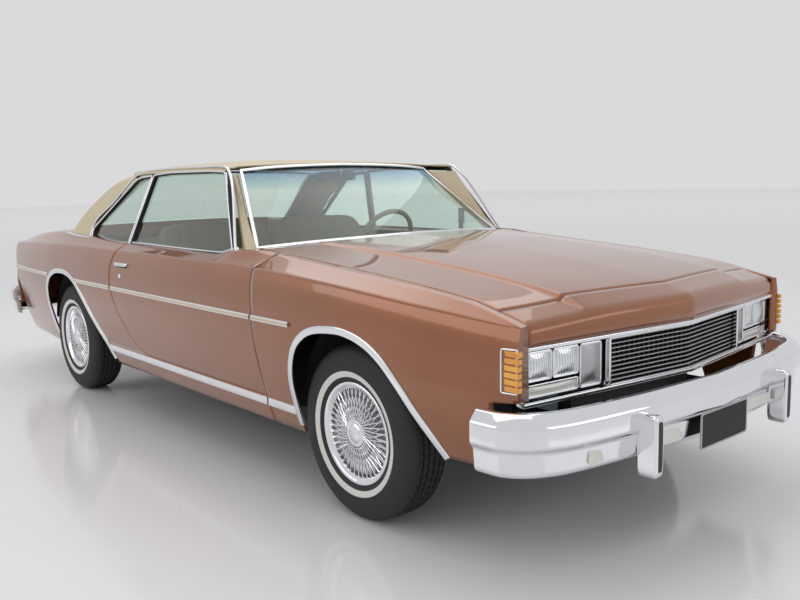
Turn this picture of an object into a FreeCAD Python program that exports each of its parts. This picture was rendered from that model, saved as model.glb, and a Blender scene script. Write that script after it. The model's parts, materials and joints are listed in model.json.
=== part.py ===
"""A full-size two-door coupe, built as separate panels, glass, seats, chassis and running gear.

Units are millimetres. +Z is up, the nose points to -Y and the car's left side is +X.
Stations run rearwards from the front axle. The last step of each piece moves it by -MIDDLE in Y,
so the frame's origin is on the floor under the middle of the car.
"""

import FreeCAD, Part
import math
import os

V = FreeCAD.Vector

# Driving dimensions
WHEELBASE = 2946.0
MIDDLE = 1648.0          # station of the middle of the overall length
TRACK = 1562.0
TYRE_R = 340.0
TYRE_W = 205.0
RIM_R = 190.0
GAP = 5.0                # shut line between panels
SKIN = 32.0              # thickness of a fender or quarter wall
DOOR_FRONT = 585.0
DOOR_INNER = 800.0       # distance from the centre line to the door's inner trim
SILL_Z = 262.0
BODY_END = 4038.0        # station where the side panels end
PLATE_HOLES = 178.0      # spacing of the number plate holes across the car
REAR_PLATE_Z = 690.0
PIPE_Z = 184.0
FLOOR_Z = 326.0
TRUNK_Z = 530.0
BELT_Z = 975.0
SIDE_LEAN = 0.334        # inward lean of the side glass per unit of height
BELT_OUT = 862.0         # half width of the glass house at the belt
HOOD_SEAM = 785.0        # half width at the seam between hood and fender
STEER_X = 705.0          # half distance between the steering axes

# Long curves of the body as (station, value) knots
HALF_WIDTH = [(-800, 838), (-600, 884), (-300, 926), (0, 944), (500, 953), (1200, 956),
              (2300, 956), (3000, 948), (3500, 928), (3850, 904), (4070, 884)]
CREASE_Z = [(-800, 829), (-600, 856), (-300, 886), (0, 911), (400, 932), (900, 944),
            (2400, 946), (3000, 938), (3500, 926), (4070, 908)]
CREST_OUT = [(-800, 822), (-690, 812), (-500, 809), (0, 811), (560, 815), (840, 868),
             (1000, 873), (2300, 872), (2600, 858), (2950, 836), (3500, 812), (4070, 788)]
CREST_Z = [(-800, 833), (-690, 860), (-530, 895), (-100, 938), (320, 970), (585, 990), (720, 1000),
           (840, 999), (1010, 973), (2000, 981), (2300, 986), (2600, 1003), (2950, 1020),
           (3200, 1013), (3500, 996), (3850, 958), (4070, 915)]
TOP_OUT = [(-800, 790), (-690, 785), (560, 785), (840, 835), (1000, 838), (2300, 838),
           (2600, 812), (2900, 768), (3040, 700), (3150, 680), (4070, 680)]
TOP_RISE = [(-800, 2), (2300, 3), (2950, 14), (3500, 13), (4070, 12)]
HOOD_MID_Z = [(-900, 846), (-766, 893), (-486, 938), (-250, 966), (0, 989), (260, 1010),
              (500, 1021), (800, 1028)]
DECK_MID_Z = [(2900, 1050), (3200, 1040), (3500, 1022), (3850, 986), (4070, 944)]
ROOF_MID_Z = [(1150, 1382), (1400, 1406), (1700, 1419), (2000, 1420), (2300, 1407), (2560, 1377)]
ROOF_EDGE_Z = [(1150, 1366), (1400, 1373), (1700, 1377), (2000, 1375), (2300, 1361), (2560, 1334)]
# Side section: (height, inset from the half width), from the sill to just under the crease
SIDE_PROFILE = [(SILL_Z, 104), (300, 88), (380, 61), (460, 38), (560, 15), (650, 3), (740, 0),
                (830, 5)]
CREASE_INSET = 20.0
HOLLOW = 1.15            # power that makes the shoulder slightly hollow
HOOD_RAKE = 0.123        # how far the hood's front line runs back per unit from the centre
RAKE = 0.119             # the same for the front face of the nose
GRILLE_BARS = 9
RIDGE_IN = 500.0         # the hood's raised middle runs to this half width
RIDGE_OUT = 522.0
RIDGE_TOP = 0.25         # share of the hood's crown lost at the ridge's top edge
RIDGE_FOOT = 0.60
STATION_STEP = 110.0     # spacing of the sections that the body side is lofted through


def smooth(knots, t):
    """Monotone cubic value at t through the knots, flat beyond both ends."""
    if t <= knots[0][0]:
        return float(knots[0][1])
    if t >= knots[-1][0]:
        return float(knots[-1][1])
    i = max(k for k in range(len(knots) - 1) if knots[k][0] <= t)
    slopes = [(b[1] - a[1]) / (b[0] - a[0]) for a, b in zip(knots, knots[1:])]

    def tangent(k):
        if k == 0 or k == len(knots) - 1:
            return slopes[min(k, len(slopes) - 1)]
        a, b = slopes[k - 1], slopes[k]
        return 0.0 if a * b <= 0 else 2 * a * b / (a + b)

    (t0, v0), (t1, v1) = knots[i], knots[i + 1]
    h = t1 - t0
    s = (t - t0) / h
    return ((1 + 2 * s) * (1 - s) ** 2 * v0 + s * (1 - s) ** 2 * h * tangent(i)
            + s * s * (3 - 2 * s) * v1 + s * s * (s - 1) * h * tangent(i + 1))


def spline(points):
    curve = Part.BSplineCurve()
    curve.interpolate(points)
    return curve.toShape()


def line(a, b):
    return Part.LineSegment(a, b).toShape()


def polygon(points):
    return Part.Face(Part.makePolygon(points + points[:1]))


def plate_x(outline, x0, x1):
    """A side-view outline of (station, height) points, between two distances from the centre line."""
    return polygon([V(x0, y, z) for y, z in outline]).extrude(V(x1 - x0, 0, 0))


def plate_y(outline, y0, y1):
    return polygon([V(x, y0, z) for x, z in outline]).extrude(V(0, y1 - y0, 0))


def plate_z(outline, z0, z1):
    return polygon([V(x, y, z0) for x, y in outline]).extrude(V(0, 0, z1 - z0))


def box(x0, x1, y0, y1, z0, z1):
    return Part.makeBox(x1 - x0, y1 - y0, z1 - z0, V(x0, y0, z0))


def rod(a, b, radius):
    a, b = V(*a), V(*b)
    return Part.makeCylinder(radius, (b - a).Length, a, b - a)


def skin(rows):
    """A smooth face through a grid of points."""
    surface = Part.BSplineSurface()
    surface.interpolate(rows)
    return surface.toShape()


def fuse(shapes):
    whole = shapes[0]
    if len(shapes) > 1:
        whole = whole.multiFuse(shapes[1:])
    return whole


def mirrored(shape):
    return shape.mirror(V(0, 0, 0), V(1, 0, 0))


def pair(shape):
    """Like pieces on both sides, as one node."""
    return Part.makeCompound([shape, mirrored(shape)])


def spread(start, stop, count):
    return [start + (stop - start) * i / (count - 1) for i in range(count)]


# ---------------------------------------------------------------- body side

def side_points(st):
    """The side section from the sill to the crease, as (half width, height)."""
    width, crease = smooth(HALF_WIDTH, st), smooth(CREASE_Z, st)
    top = SIDE_PROFILE[-1][0]
    squeeze = (crease - 60 - SILL_Z) / (top - SILL_Z)
    points = [(width - inset, SILL_Z + (z - SILL_Z) * squeeze) for z, inset in SIDE_PROFILE]
    return points + [(width - CREASE_INSET, crease)]


def shoulder_points(st):
    """The shoulder from the crease up to the crest, slightly hollow."""
    width, crease = smooth(HALF_WIDTH, st) - CREASE_INSET, smooth(CREASE_Z, st)
    crest, height = smooth(CREST_OUT, st), smooth(CREST_Z, st)
    rise = height - crease
    return [(width + (crest - width) * f, crease + rise * f ** HOLLOW) for f in (0, 0.33, 0.67, 1)]


def side_section(st):
    """One closed section of the body side's wall, as thick as SKIN."""
    side, shoulder = side_points(st), shoulder_points(st)
    top = (smooth(TOP_OUT, st), shoulder[-1][1] + smooth(TOP_RISE, st))
    low = (top[0], top[1] - SKIN)
    bend = (side[-1][0] - SKIN, side[-1][1] - SKIN)
    wall = [(o - SKIN, z) for o, z in side[:-1]] + [bend]

    def at(p):
        return V(-p[0], st, p[1])

    return Part.Wire([spline([at(p) for p in side]), spline([at(p) for p in shoulder]),
                      line(at(shoulder[-1]), at(top)), line(at(top), at(low)), line(at(low), at(bend)),
                      spline([at(p) for p in reversed(wall)]), line(at(wall[0]), at(side[0]))])


def body_side(first, last):
    """The car's right side between two stations, lofted through its sections."""
    count = max(4, round((last - first) / STATION_STEP) + 1)
    return Part.makeLoft([side_section(st) for st in spread(first, last, count)], True, True)


def door_filling(first, last):
    """The door's inner part, from its trim outwards into the wall of the body side."""
    side = [(-x + SKIN / 2, z) for x, z in side_points(DOOR_FRONT)[:-1]]
    outline = side + [(-900, 932), (-858, 960), (-DOOR_INNER, 962), (-DOOR_INNER, SILL_Z)]
    return plate_y(outline, first, last)


def glass_out(z, inset=0.0):
    """Half width of the glass house's side at a height."""
    return BELT_OUT - SIDE_LEAN * (z - BELT_Z) - inset


def side_sheet(outline, thickness, inset=0.0):
    """A flat sheet on the leaning side of the glass house, from its (station, height) outline."""
    face = polygon([V(-glass_out(z, inset), y, z) for y, z in outline])
    return face.extrude(V(thickness, 0, 0))


FRONT_ARCH = [(365, 100), (362, 330), (352, 470), (318, 580), (258, 668), (165, 724), (40, 745),
              (-70, 742),
              (-165, 715), (-245, 665), (-315, 590), (-385, 490), (-440, 410), (-480, 340),
              (-500, 100)]
REAR_ARCH = [(3292, 100), (3290, 380), (3278, 520), (3235, 640), (3165, 715), (3050, 762), (2920, 775),
             (2800, 768), (2690, 735), (2590, 665), (2500, 565), (2420, 465), (2355, 385),
             (2315, 330), (2300, 100)]
DOOR_OUTLINE = [(DOOR_FRONT + GAP / 2, 390), (1790, 390), (1880, 425), (1960, 498), (2030, 595),
                (2072, 670), (2094, 745), (2085, 822), (2052, 890), (2012, 940), (2003, 980), (2003, 1100),
                (DOOR_FRONT + GAP / 2, 1100)]


def grown(outline, d):
    """The outline moved outwards by d, for convex outlines drawn either way round."""
    cy = sum(p[0] for p in outline) / len(outline)
    cz = sum(p[1] for p in outline) / len(outline)
    area = sum(a[0] * b[1] - b[0] * a[1] for a, b in zip(outline, outline[1:] + outline[:1]))
    sign = 1 if area > 0 else -1
    n = len(outline)
    moved = []
    for i, p in enumerate(outline):
        a, b = outline[i - 1], outline[(i + 1) % n]
        n1 = (sign * (p[1] - a[1]), -sign * (p[0] - a[0]))
        n2 = (sign * (b[1] - p[1]), -sign * (b[0] - p[0]))
        l1, l2 = math.hypot(*n1), math.hypot(*n2)
        n1, n2 = (n1[0] / l1, n1[1] / l1), (n2[0] / l2, n2[1] / l2)
        k = d / max(0.3, 1 + n1[0] * n2[0] + n1[1] * n2[1])
        moved.append((p[0] + (n1[0] + n2[0]) * k, p[1] + (n1[1] + n2[1]) * k))
    return moved


def fender():
    wall = body_side(-792, DOOR_FRONT - 2.5)
    wall = wall.cut(plate_x(FRONT_ARCH, -1100, -600))
    # The bumper's end wraps the lower front corner
    return wall.cut(box(-1100, -600, -900, -700, 100, 592))


def quarter_panel():
    """Rear quarter with the sill below the door, the window's frame and the broad slanting pillar above."""
    wall = body_side(DOOR_FRONT + 2.5, BODY_END)
    wall = wall.cut(plate_x(REAR_ARCH, -1100, -600))
    wall = wall.cut(plate_x(grown(DOOR_OUTLINE, GAP), -1100, -600))
    wall = wall.cut(box(-1100, -600, DOOR_FRONT - 10, DOOR_FRONT + 30, SILL_Z + 123, 1100))
    frame = side_sheet(QUARTER_FRAME, 26).cut(side_sheet(grown(QUARTER_FRAME, -16), 60, -20))
    return fuse([wall, frame, side_sheet(PILLAR, 60)])


WINDOW_FRAME = [(848, 955), (1118, 1350), (1300, 1357), (1700, 1359), (1905, 1350), (2009, 955)]
QUARTER_FRAME = [(2022, 962), (1918, 1348), (2060, 1340), (2122, 1326), (2575, 1045), (2570, 962)]
PILLAR = [(2572, 985), (2985, 1000), (2985, 1030), (2690, 1222), (2430, 1310), (2100, 1334),
          (2118, 1328), (2572, 1047)]
FRAME_BAR = 20.0


def door():
    """Outer skin with the full outline over an inner part set in from it, and the window's frame."""
    block = body_side(DOOR_FRONT - 60, 2140).fuse(door_filling(DOOR_FRONT - 60, 2140))
    outline = block.common(plate_x(DOOR_OUTLINE, -1100, -600))
    hidden = box(-890, -600, 400, 2300, 200, 925).fuse(box(-868, -600, 400, 2300, 925, 1100))
    outer = outline.cut(hidden)
    inner = outline.common(hidden).common(plate_x(grown(DOOR_OUTLINE, -28), -1100, -600))
    frame = side_sheet(WINDOW_FRAME, 26).cut(side_sheet(grown(WINDOW_FRAME, -FRAME_BAR), 60, -20))
    handle = box(-974, -940, 1835, 1990, 866, 888)
    return fuse([outer, inner, frame, handle])


def door_glass():
    return side_sheet(grown(WINDOW_FRAME, -FRAME_BAR + 4), 5, 11)


def quarter_glass():
    return side_sheet(grown(QUARTER_FRAME, -16), 5, 11)


# ---------------------------------------------------------------- hood, nose and deck

def hood_z(x, st):
    """Height of the hood's top: a crowned raised middle, a ridge and a sloping outer part."""
    mid, edge = smooth(HOOD_MID_Z, st), smooth(CREST_Z, st) + 2
    drop, o = mid - edge, abs(x)
    if o <= RIDGE_IN:
        return mid - drop * RIDGE_TOP * (o / RIDGE_IN) ** 1.3
    if o <= RIDGE_OUT:
        f = (o - RIDGE_IN) / (RIDGE_OUT - RIDGE_IN)
        return mid - drop * (RIDGE_TOP + (RIDGE_FOOT - RIDGE_TOP) * f)
    f = (o - RIDGE_OUT) / (HOOD_SEAM - RIDGE_OUT)
    return mid - drop * (RIDGE_FOOT + (1 - RIDGE_FOOT) * f)


def nose_y(x, tip, rake=HOOD_RAKE):
    """Station of a line across the nose that runs back from its tip on both sides."""
    return tip + rake * abs(x)


HOOD_STRIPS = [(-HOOD_SEAM + GAP, -RIDGE_OUT), (-RIDGE_OUT, -RIDGE_IN), (-RIDGE_IN, 0),
               (0, RIDGE_IN), (RIDGE_IN, RIDGE_OUT), (RIDGE_OUT, HOOD_SEAM - GAP)]


def hood():
    strips = []
    for a, b in HOOD_STRIPS:
        rows = [[V(x, st, hood_z(x, st)) for x in spread(a, b, 4)] for st in spread(-780, 800, 9)]
        strips.append(skin(rows).extrude(V(0, 0, -26)))
    whole = fuse(strips)
    tip, edge = HOOD_FRONT, HOOD_SEAM
    outline = [(-edge, nose_y(edge, tip)), (0, tip), (edge, nose_y(edge, tip)), (edge, 752),
               (450, 690), (0, 668), (-450, 690), (-edge, 752)]
    return whole.common(plate_z(outline, 700, 1200))


HOOD_FRONT = -762.0
NOSE_TIP = -884.0
NOSE_LOW = 768.0


def header_section(x, st_seam, top_seam):
    """The nose panel's section at x: bottom, front face, rounded lip and top."""
    front = nose_y(x, NOSE_TIP, RAKE)
    lip = smooth([(0, 856), (400, 850), (835, 829)], abs(x))
    points = [V(x, st_seam, NOSE_LOW), V(x, front, NOSE_LOW), V(x, front + 3, lip - 22),
              V(x, front + 28, lip), V(x, st_seam, top_seam)]
    return Part.makePolygon(points + points[:1])


def header_panel():
    halves = []
    for a, b in ((0, RIDGE_IN), (RIDGE_IN, RIDGE_OUT), (RIDGE_OUT, HOOD_SEAM - 3)):
        sections = []
        for x in (a, b):
            seam = nose_y(x, HOOD_FRONT - GAP)
            sections.append(header_section(x, seam, hood_z(min(x, HOOD_SEAM), seam)))
        halves.append(Part.makeLoft(sections, True, True))
    half = fuse(halves)
    return fuse([half, mirrored(half)])


def deck_z(x, st):
    edge = smooth(CREST_Z, st) + smooth(TOP_RISE, st)
    return smooth(DECK_MID_Z, st) - (smooth(DECK_MID_Z, st) - edge) * (abs(x) / 680.0) ** 2


LID = 674.0
LID_FRONT = 3160.0
LID_REAR = 4042.0


def trunk_lid():
    rows = [[V(x, st, deck_z(x, st)) for x in spread(-LID, LID, 9)] for st in spread(LID_FRONT, LID_REAR, 9)]
    top = skin(rows).extrude(V(0, 0, -24))
    lip = plate_y([(-LID, 800), (LID, 800), (LID, 915), (-LID, 915)], LID_REAR - 30, LID_REAR + 18)
    return fuse([top, lip])


def rear_deck_panel():
    """Fixed strip between the rear window and the trunk lid, with the parcel shelf behind the seat."""
    across = spread(-678, 678, 9)
    rows = [[V(x, st, deck_z(x, st)) for x in across] for st in spread(3064, LID_FRONT - GAP, 4)]
    strip = skin(rows).extrude(V(0, 0, -24))
    drop = box(-676, 676, 3064, 3078, 985, 1012)
    return fuse([strip, drop, box(-676, 676, 2790, 3078, 972, 987)])


def tail_panel():
    half = [(872, 470), (884, 620), (872, 800), (790, 905), (686, 920), (686, 795)]
    outline = half + [(-x, z) for x, z in reversed(half)]
    face = plate_y(outline, LID_REAR - 2, LID_REAR + 26)
    lamps = box(-800, -290, LID_REAR + 6, LID_REAR + 40, 622, 768)
    face = face.cut(fuse([lamps, mirrored(lamps)]))
    for x in (-PLATE_HOLES / 2, PLATE_HOLES / 2):
        for z in (REAR_PLATE_Z - 60.5, REAR_PLATE_Z + 60.5):
            face = face.cut(rod((x, LID_REAR - 10, z), (x, LID_REAR + 40, z), 3.5))
    return face


def tail_lamps():
    """Three rectangular lamps a side in one housing each."""
    one = box(-797, -293, LID_REAR + 8, LID_REAR + 22, 625, 765)
    for i in range(3):
        x0 = -790 + i * 168
        one = one.fuse(box(x0, x0 + 158, LID_REAR + 20, LID_REAR + 34, 632, 758))
    return Part.makeCompound([one, mirrored(one)])


# ---------------------------------------------------------------- glass house

def roof_z(x, st):
    mid, edge = smooth(ROOF_MID_Z, st), smooth(ROOF_EDGE_Z, st)
    return mid - (mid - edge) * (abs(x) / ROOF_HALF) ** 2.4


ROOF_HALF = 726.0
WS_BASE = [(0, 700, 1016), (300, 708, 1013), (560, 745, 1006), (772, 812, 994)]
WS_TOP = [(0, 1196, 1372), (240, 1198, 1368), (440, 1204, 1360), (604, 1216, 1346)]
BL_TOP = [(0, 2520, 1366), (480, 2500, 1356), (618, 2392, 1344)]
BL_BASE = [(0, 3052, 1042), (652, 3030, 1036), (742, 2925, 1030)]


def roof_panel():
    """Crowned panel, thick inside the door frames and thin over them at the drip rails."""
    across = spread(-ROOF_HALF, ROOF_HALF, 11)
    rows = [[V(x, st, roof_z(x, st)) for x in across] for st in spread(1150, 2560, 9)]
    side = [(ROOF_HALF, 2160), (650, 2372), (612, 2380), (474, 2488), (0, 2508)]
    front = [(0, 1208), (604, 1232), (660, 1170), (ROOF_HALF, 1118)]
    half = front + side
    outline = half + [(-x, y) for x, y in reversed(half) if x > 0]
    cutter = plate_z(outline, 1200, 1500)
    edge = skin(rows).extrude(V(0, 0, -9)).common(cutter)
    inside = box(-700, 700, 900, 2600, 1200, 1500)
    return edge.fuse(skin(rows).extrude(V(0, 0, -30)).common(cutter).common(inside))


def full_row(points):
    return [(-x, y, z) for x, y, z in reversed(points[1:])] + points


def windshield():
    base, top = full_row(WS_BASE), full_row(WS_TOP)
    rows = []
    for f in (0.0, 0.33, 0.67, 1.0):
        bow = 10 * 4 * f * (1 - f)
        rows.append([V(a[0] + (b[0] - a[0]) * f, a[1] + (b[1] - a[1]) * f - bow * 0.7,
                       a[2] + (b[2] - a[2]) * f + bow * 0.7) for a, b in zip(base, top)])
    return skin(rows).extrude(V(0, 6, -6))


def ruled_sheet(base, top, shift):
    """Flat facets between two rows of points, each extruded by shift."""
    facets = []
    for (a, b), (c, d) in zip(zip(base, base[1:]), zip(top, top[1:])):
        edge_low, edge_high = line(V(*a), V(*b)), line(V(*c), V(*d))
        facets.append(Part.makeRuledSurface(edge_low, edge_high).extrude(V(*shift)))
    return fuse(facets)


def rear_window():
    return ruled_sheet(full_row(BL_BASE), full_row(BL_TOP), (0, -5, -5))


def a_pillar():
    """From the cowl to the roof, between the windshield and the door frame."""
    low = [V(-776, 804, 990), V(-822, 826, 990), V(-818, 856, 990), V(-758, 860, 990)]
    high = [V(-613, 1222, 1334), V(-728, 1076, 1334), V(-699, 1128, 1334), V(-634, 1246, 1334)]
    wires = [Part.makePolygon(p + p[:1]) for p in (low, high)]
    return Part.makeLoft(wires, True, True)


def cowl():
    """Body-coloured panel under the windshield's foot."""
    outline = [(-775, 760), (-450, 697), (0, 675), (450, 697), (775, 760), (775, 860), (-775, 860)]
    return plate_z(outline, 935, 984)


# ---------------------------------------------------------------- structure

def tunnel(first, last, top):
    """Hollow hump over the shafts."""
    return box(-130, 130, first, last, FLOOR_Z, top).cut(box(-112, 112, first - 1, last + 1, 0, top - 18))


def floor_pan():
    """Firewall, floor, tunnel and sills, stepping up under the rear seat and again over the axle."""
    pan = fuse([box(-760, 760, 590, 2230, FLOOR_Z - 26, FLOOR_Z), box(-760, 760, 590, 612, FLOOR_Z, 930)])
    pan = pan.cut(fuse([box(-112, 112, 500, 2231, 0, FLOOR_Z + 1), box(-112, 112, 500, 700, 0, 460)]))
    seat = fuse([box(-700, 700, 2208, 2230, FLOOR_Z, 448), box(-700, 700, 2230, 2500, 434, 448),
                 box(-556, 556, 2482, 2500, 448, TRUNK_Z), box(-556, 556, 2500, 4034, TRUNK_Z - 18, TRUNK_Z)])
    seat = seat.cut(box(-112, 112, 2200, 2240, 0, 402))
    sill = box(-812, -760, 590, 2230, SILL_Z, 340)
    return fuse([pan, tunnel(612, 1150, 478), tunnel(1150, 2208, 420), seat, sill, mirrored(sill)])


def chassis_frame():
    """Two rails with kick-ups at both ends, joined by crossmembers."""
    path = [(424, -900, 400), (424, 330, 400), (600, 545, 245), (600, 2330, 245), (510, 2590, 465),
            (510, 3240, 465), (510, 3460, 400), (510, 4030, 390)]
    rail = fuse([beam(a, b, 70, 84) for a, b in zip(path, path[1:])])
    post = box(-459, -389, -60, 90, 210, 380)
    cross = [box(-390, 390, -60, 90, 210, 300), box(-566, 566, 1500, 1580, 214, 252),
             box(-476, 476, 3380, 3440, 385, 445), box(-390, 390, -870, -820, 370, 430)]
    return fuse([rail, mirrored(rail), post, mirrored(post)] + cross)


def beam(a, b, width, height):
    """A box beam between two points (half width, station, height), with ends square to the station."""
    (xa, ya, za), (xb, yb, zb) = a, b
    def ring(x, y, z):
        w, h = width / 2, height / 2
        p = [V(-x - w, y, z - h), V(-x + w, y, z - h), V(-x + w, y, z + h), V(-x - w, y, z + h)]
        return Part.makePolygon(p + p[:1])
    return Part.makeLoft([ring(xa, ya, za), ring(xb, yb, zb)], True, True)


def engine():
    return box(-260, 260, -380, 420, 330, 860)


def gearbox():
    return fuse([box(-150, 150, 425, 540, 300, 520), rod((0, 530, 375), (0, 1480, 300), 60)])


def radiator():
    return box(-384, 384, -640, -580, 400, 830)


def propshaft():
    return rod((0, 1470, 296), (0, WHEELBASE - 178, TYRE_R - 14), 38)


def rear_axle():
    """Live axle: tube, differential housing, pinion nose and brake drums."""
    centre = V(0, WHEELBASE, TYRE_R)
    tube = rod((-TRACK / 2 + 62, WHEELBASE, TYRE_R), (TRACK / 2 - 62, WHEELBASE, TYRE_R), 40)
    profile = [V(-150, 30, 0), V(-140, 52, 0), V(-75, 130, 0), V(75, 130, 0), V(140, 52, 0), V(150, 30, 0)]
    housing = Part.Face(Part.makePolygon(profile + profile[:1])).revolve(V(0, 0, 0), V(1, 0, 0), 360)
    housing.translate(centre)
    pinion = rod((0, WHEELBASE - 60, TYRE_R - 14), (0, WHEELBASE - 172, TYRE_R - 14), 58)
    drum = rod((-TRACK / 2 + 20, WHEELBASE, TYRE_R), (-TRACK / 2 + 75, WHEELBASE, TYRE_R), 130)
    return fuse([tube, housing, pinion, drum, mirrored(drum)])


def suspension_arms():
    """Lower and upper arms with the coil spring between them, as solids that don't touch."""
    low = plate_z([(-468, -110), (-468, 130), (-712, 18), (-712, -18)], 215, 243)
    high = plate_z([(-485, -90), (-485, 90), (-712, 16), (-712, -16)], 470, 494)
    spring = rod((-560, 0, 243.5), (-560, 0, 469.5), 55)
    return Part.makeCompound([pair(low), pair(high), pair(spring)])


def fuel_tank():
    return box(-410, 410, 3470, 3980, 262, 384)


def swept(points, radius):
    """A round pipe along straight runs with rounded corners."""
    path = Part.makePolygon([V(*p) for p in points])
    start, way = V(*points[0]), V(*points[1]) - V(*points[0])
    ring = Part.Wire(Part.makeCircle(radius, start, way))
    return path.makePipeShell([ring], True, False, 2)


def exhaust():
    """Front pipe, converter, muffler and the tail pipe over the axle."""
    front = rod((-250, 440, PIPE_Z), (-250, 1000, PIPE_Z), 26)
    middle = rod((-250, 1140, PIPE_Z), (-250, 1720, PIPE_Z), 26)
    boxes = [box(-330, -170, 980, 1160, 150, 211), box(-350, -150, 1700, 2260, 146, 226)]
    tail = swept([(-250, 2240, PIPE_Z), (-250, 2440, PIPE_Z), (-420, 2700, 455), (-420, 3150, 455),
                  (-442, 3400, 300), (-442, 4210, 290)], 24)
    return fuse([front, middle, tail] + boxes)


def wheelhouse(center, outer, wide):
    """An arched inner panel over a wheel, open below and to the outside."""
    big = rod((-outer, center, TYRE_R), (-wide, center, TYRE_R), 452)
    small = rod((-outer - 1, center, TYRE_R), (-wide - 12, center, TYRE_R), 436)
    shell = big.cut(small)
    return shell.cut(box(-1100, -300, center - 600, center + 600, -200, 420))


# ---------------------------------------------------------------- front and rear trim

def grille():
    """A bow-fronted frame with a centre post and level bars."""
    pieces = []
    front = nose_y(0, NOSE_TIP, RAKE) + 16, nose_y(414, NOSE_TIP, RAKE) + 16
    outline = [(0, front[0]), (-414, front[1]), (-414, front[1] + 30), (0, front[0] + 30)]
    for i in range(GRILLE_BARS):
        z = 594 + i * 19.4
        pieces.append(plate_z(outline, z, z + 8))
    half = fuse(pieces + [grille_back()])
    return fuse([half, mirrored(half)])


def grille_back():
    y0, y1 = nose_y(0, NOSE_TIP, RAKE), nose_y(414, NOSE_TIP, RAKE)
    outline = [(0, y0 + 45), (-414, y1 + 45), (-414, y1 + 60), (0, y0 + 60)]
    return plate_z(outline, 586, 764)


def nose_frame():
    """Bright frame around grille and lamps."""
    def ring(z0, z1, x0, x1, depth=40.0):
        a, b = nose_y(x0, NOSE_TIP - 4, RAKE), nose_y(x1, NOSE_TIP - 4, RAKE)
        return plate_z([(-x0, a), (-x1, b), (-x1, b + depth), (-x0, a + depth)], z0, z1)

    corner = (-808, -795)
    end = fuse([box(-830, -785, *corner, 577, 590), box(-830, -785, *corner, 750, 766),
                box(-830, -812, *corner, 577, 766), ring(577, 590, 760, 786, 12),
                ring(750, 766, 760, 786, 12)])
    half = fuse([ring(750, 766, 0, 786), ring(577, 590, 0, 786), ring(577, 766, 414, 428), end])
    return fuse([half, mirrored(half)])


def headlamps():
    """Two rectangular lamps in a sunk housing, with the turn lamp's box inboard."""
    y = nose_y(620, NOSE_TIP, RAKE)
    a, b = nose_y(430, NOSE_TIP, RAKE), nose_y(780, NOSE_TIP, RAKE)
    back = plate_z([(-430, a + 62), (-780, b + 62), (-780, b + 80), (-430, a + 80)], 591, 749)
    lamps = []
    for x0, x1 in ((-546, -654), (-664, -776)):
        ya, yb = nose_y(-x0, NOSE_TIP, RAKE), nose_y(-x1, NOSE_TIP, RAKE)
        lamps.append(plate_z([(x0, ya + 34), (x1, yb + 34), (x1, yb + 70), (x0, ya + 70)], 640, 742))
    return fuse([back] + lamps)


BUMPER_PLAN = [(0, -1018), (430, -985), (740, -938), (880, -868), (940, -770), (948, -690)]


def bumper_ring(at, along):
    """The bumper's section at one point of its plan, in the plane across its run."""
    x, y = at
    nx, ny = along[1], -along[0]
    profile = [(-62, 584), (-40, 588), (-10, 560), (0, 545), (0, 480), (-16, 462), (-22, 392), (-34, 376),
               (-62, 376)]
    points = [V(x + nx * d, y + ny * d, z) for d, z in profile]
    return Part.makePolygon(points + points[:1])


def bumper_sweep(plan):
    half = [(-x, y) for x, y in reversed(plan[1:])] + plan
    rings = []
    for i, p in enumerate(half):
        a, b = half[max(0, i - 1)], half[min(len(half) - 1, i + 1)]
        t = (b[0] - a[0], b[1] - a[1])
        size = math.hypot(*t)
        rings.append(bumper_ring(p, (t[0] / size, t[1] / size)))
    return Part.makeLoft(rings, True, True)


def front_bumper():
    bar = bumper_sweep(BUMPER_PLAN)
    guard = box(-462, -418, -1040, -960, 322, 532)
    mount = box(-468, -392, -940, -902, 400, 444)
    bracket = box(-110, 110, -1008, -1000, 372, 462)
    for x in (-PLATE_HOLES / 2, PLATE_HOLES / 2):
        bracket = bracket.cut(rod((x, -1020, 448), (x, -990, 448), 3.5))
    bracket = bracket.fuse(box(-60, 60, -1001, -985, 396, 440))
    return fuse([bar, guard, mirrored(guard), mount, mirrored(mount), bracket])


def rear_bumper():
    plan = [(0, -1018), (430, -1010), (740, -990), (870, -935), (915, -850), (920, -760)]
    bar = bumper_sweep(plan)
    bar = bar.mirror(V(0, 0, 0), V(0, 1, 0))
    bar.translate(V(0, 4330 - 1018, 0))
    guard = box(-412, -368, 4275, 4336, 380, 560)
    return fuse([bar, guard, mirrored(guard)])


# ---------------------------------------------------------------- cabin

def dashboard():
    section = [(866, 985), (1120, 985), (1150, 950), (1125, 720), (1000, 660), (640, 660), (640, 930),
               (866, 930)]
    return plate_x(section, -740, 740)


def seat_back(foot, low, top, half):
    """A leaning back: foot is its front lower station, low and top its heights."""
    lean = (top - low) * 0.34
    outline = [(foot, low), (foot + 110, low), (foot + 110 + lean, top), (foot + 30 + lean, top)]
    return plate_x(outline, -half, half)


def front_seat():
    base = box(-600, -140, 1320, 1700, FLOOR_Z + 1, 452)
    return fuse([box(-700, 700, 1230, 1745, 450, 600), seat_back(1744, 450, 1075, 700), base, mirrored(base)])


def rear_seat():
    cushion = fuse([box(-640, 640, 2240, 2479, 449, 600), box(-552, 552, 2478, 2642, TRUNK_Z + 1, 600)])
    return fuse([cushion, seat_back(2640, TRUNK_Z + 1, 970, 552)])


def steering_wheel():
    """Rim, boss and two spokes on the leaning column's axis."""
    rim = Part.makeTorus(190, 14)
    boss = Part.makeCylinder(52, 40, V(0, 0, -50))
    spoke = box(-186, 186, -22, 22, -24, -8)
    shaft = Part.makeCylinder(17, 166, V(0, 0, -206))
    wheel = fuse([rim, boss, spoke, shaft])
    wheel.rotate(V(0, 0, 0), V(1, 0, 0), COLUMN_TILT - 90)
    wheel.translate(V(*WHEEL_HUB))
    return wheel


COLUMN_TILT = 28.0
WHEEL_HUB = (390.0, 1330.0, 940.0)


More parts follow.
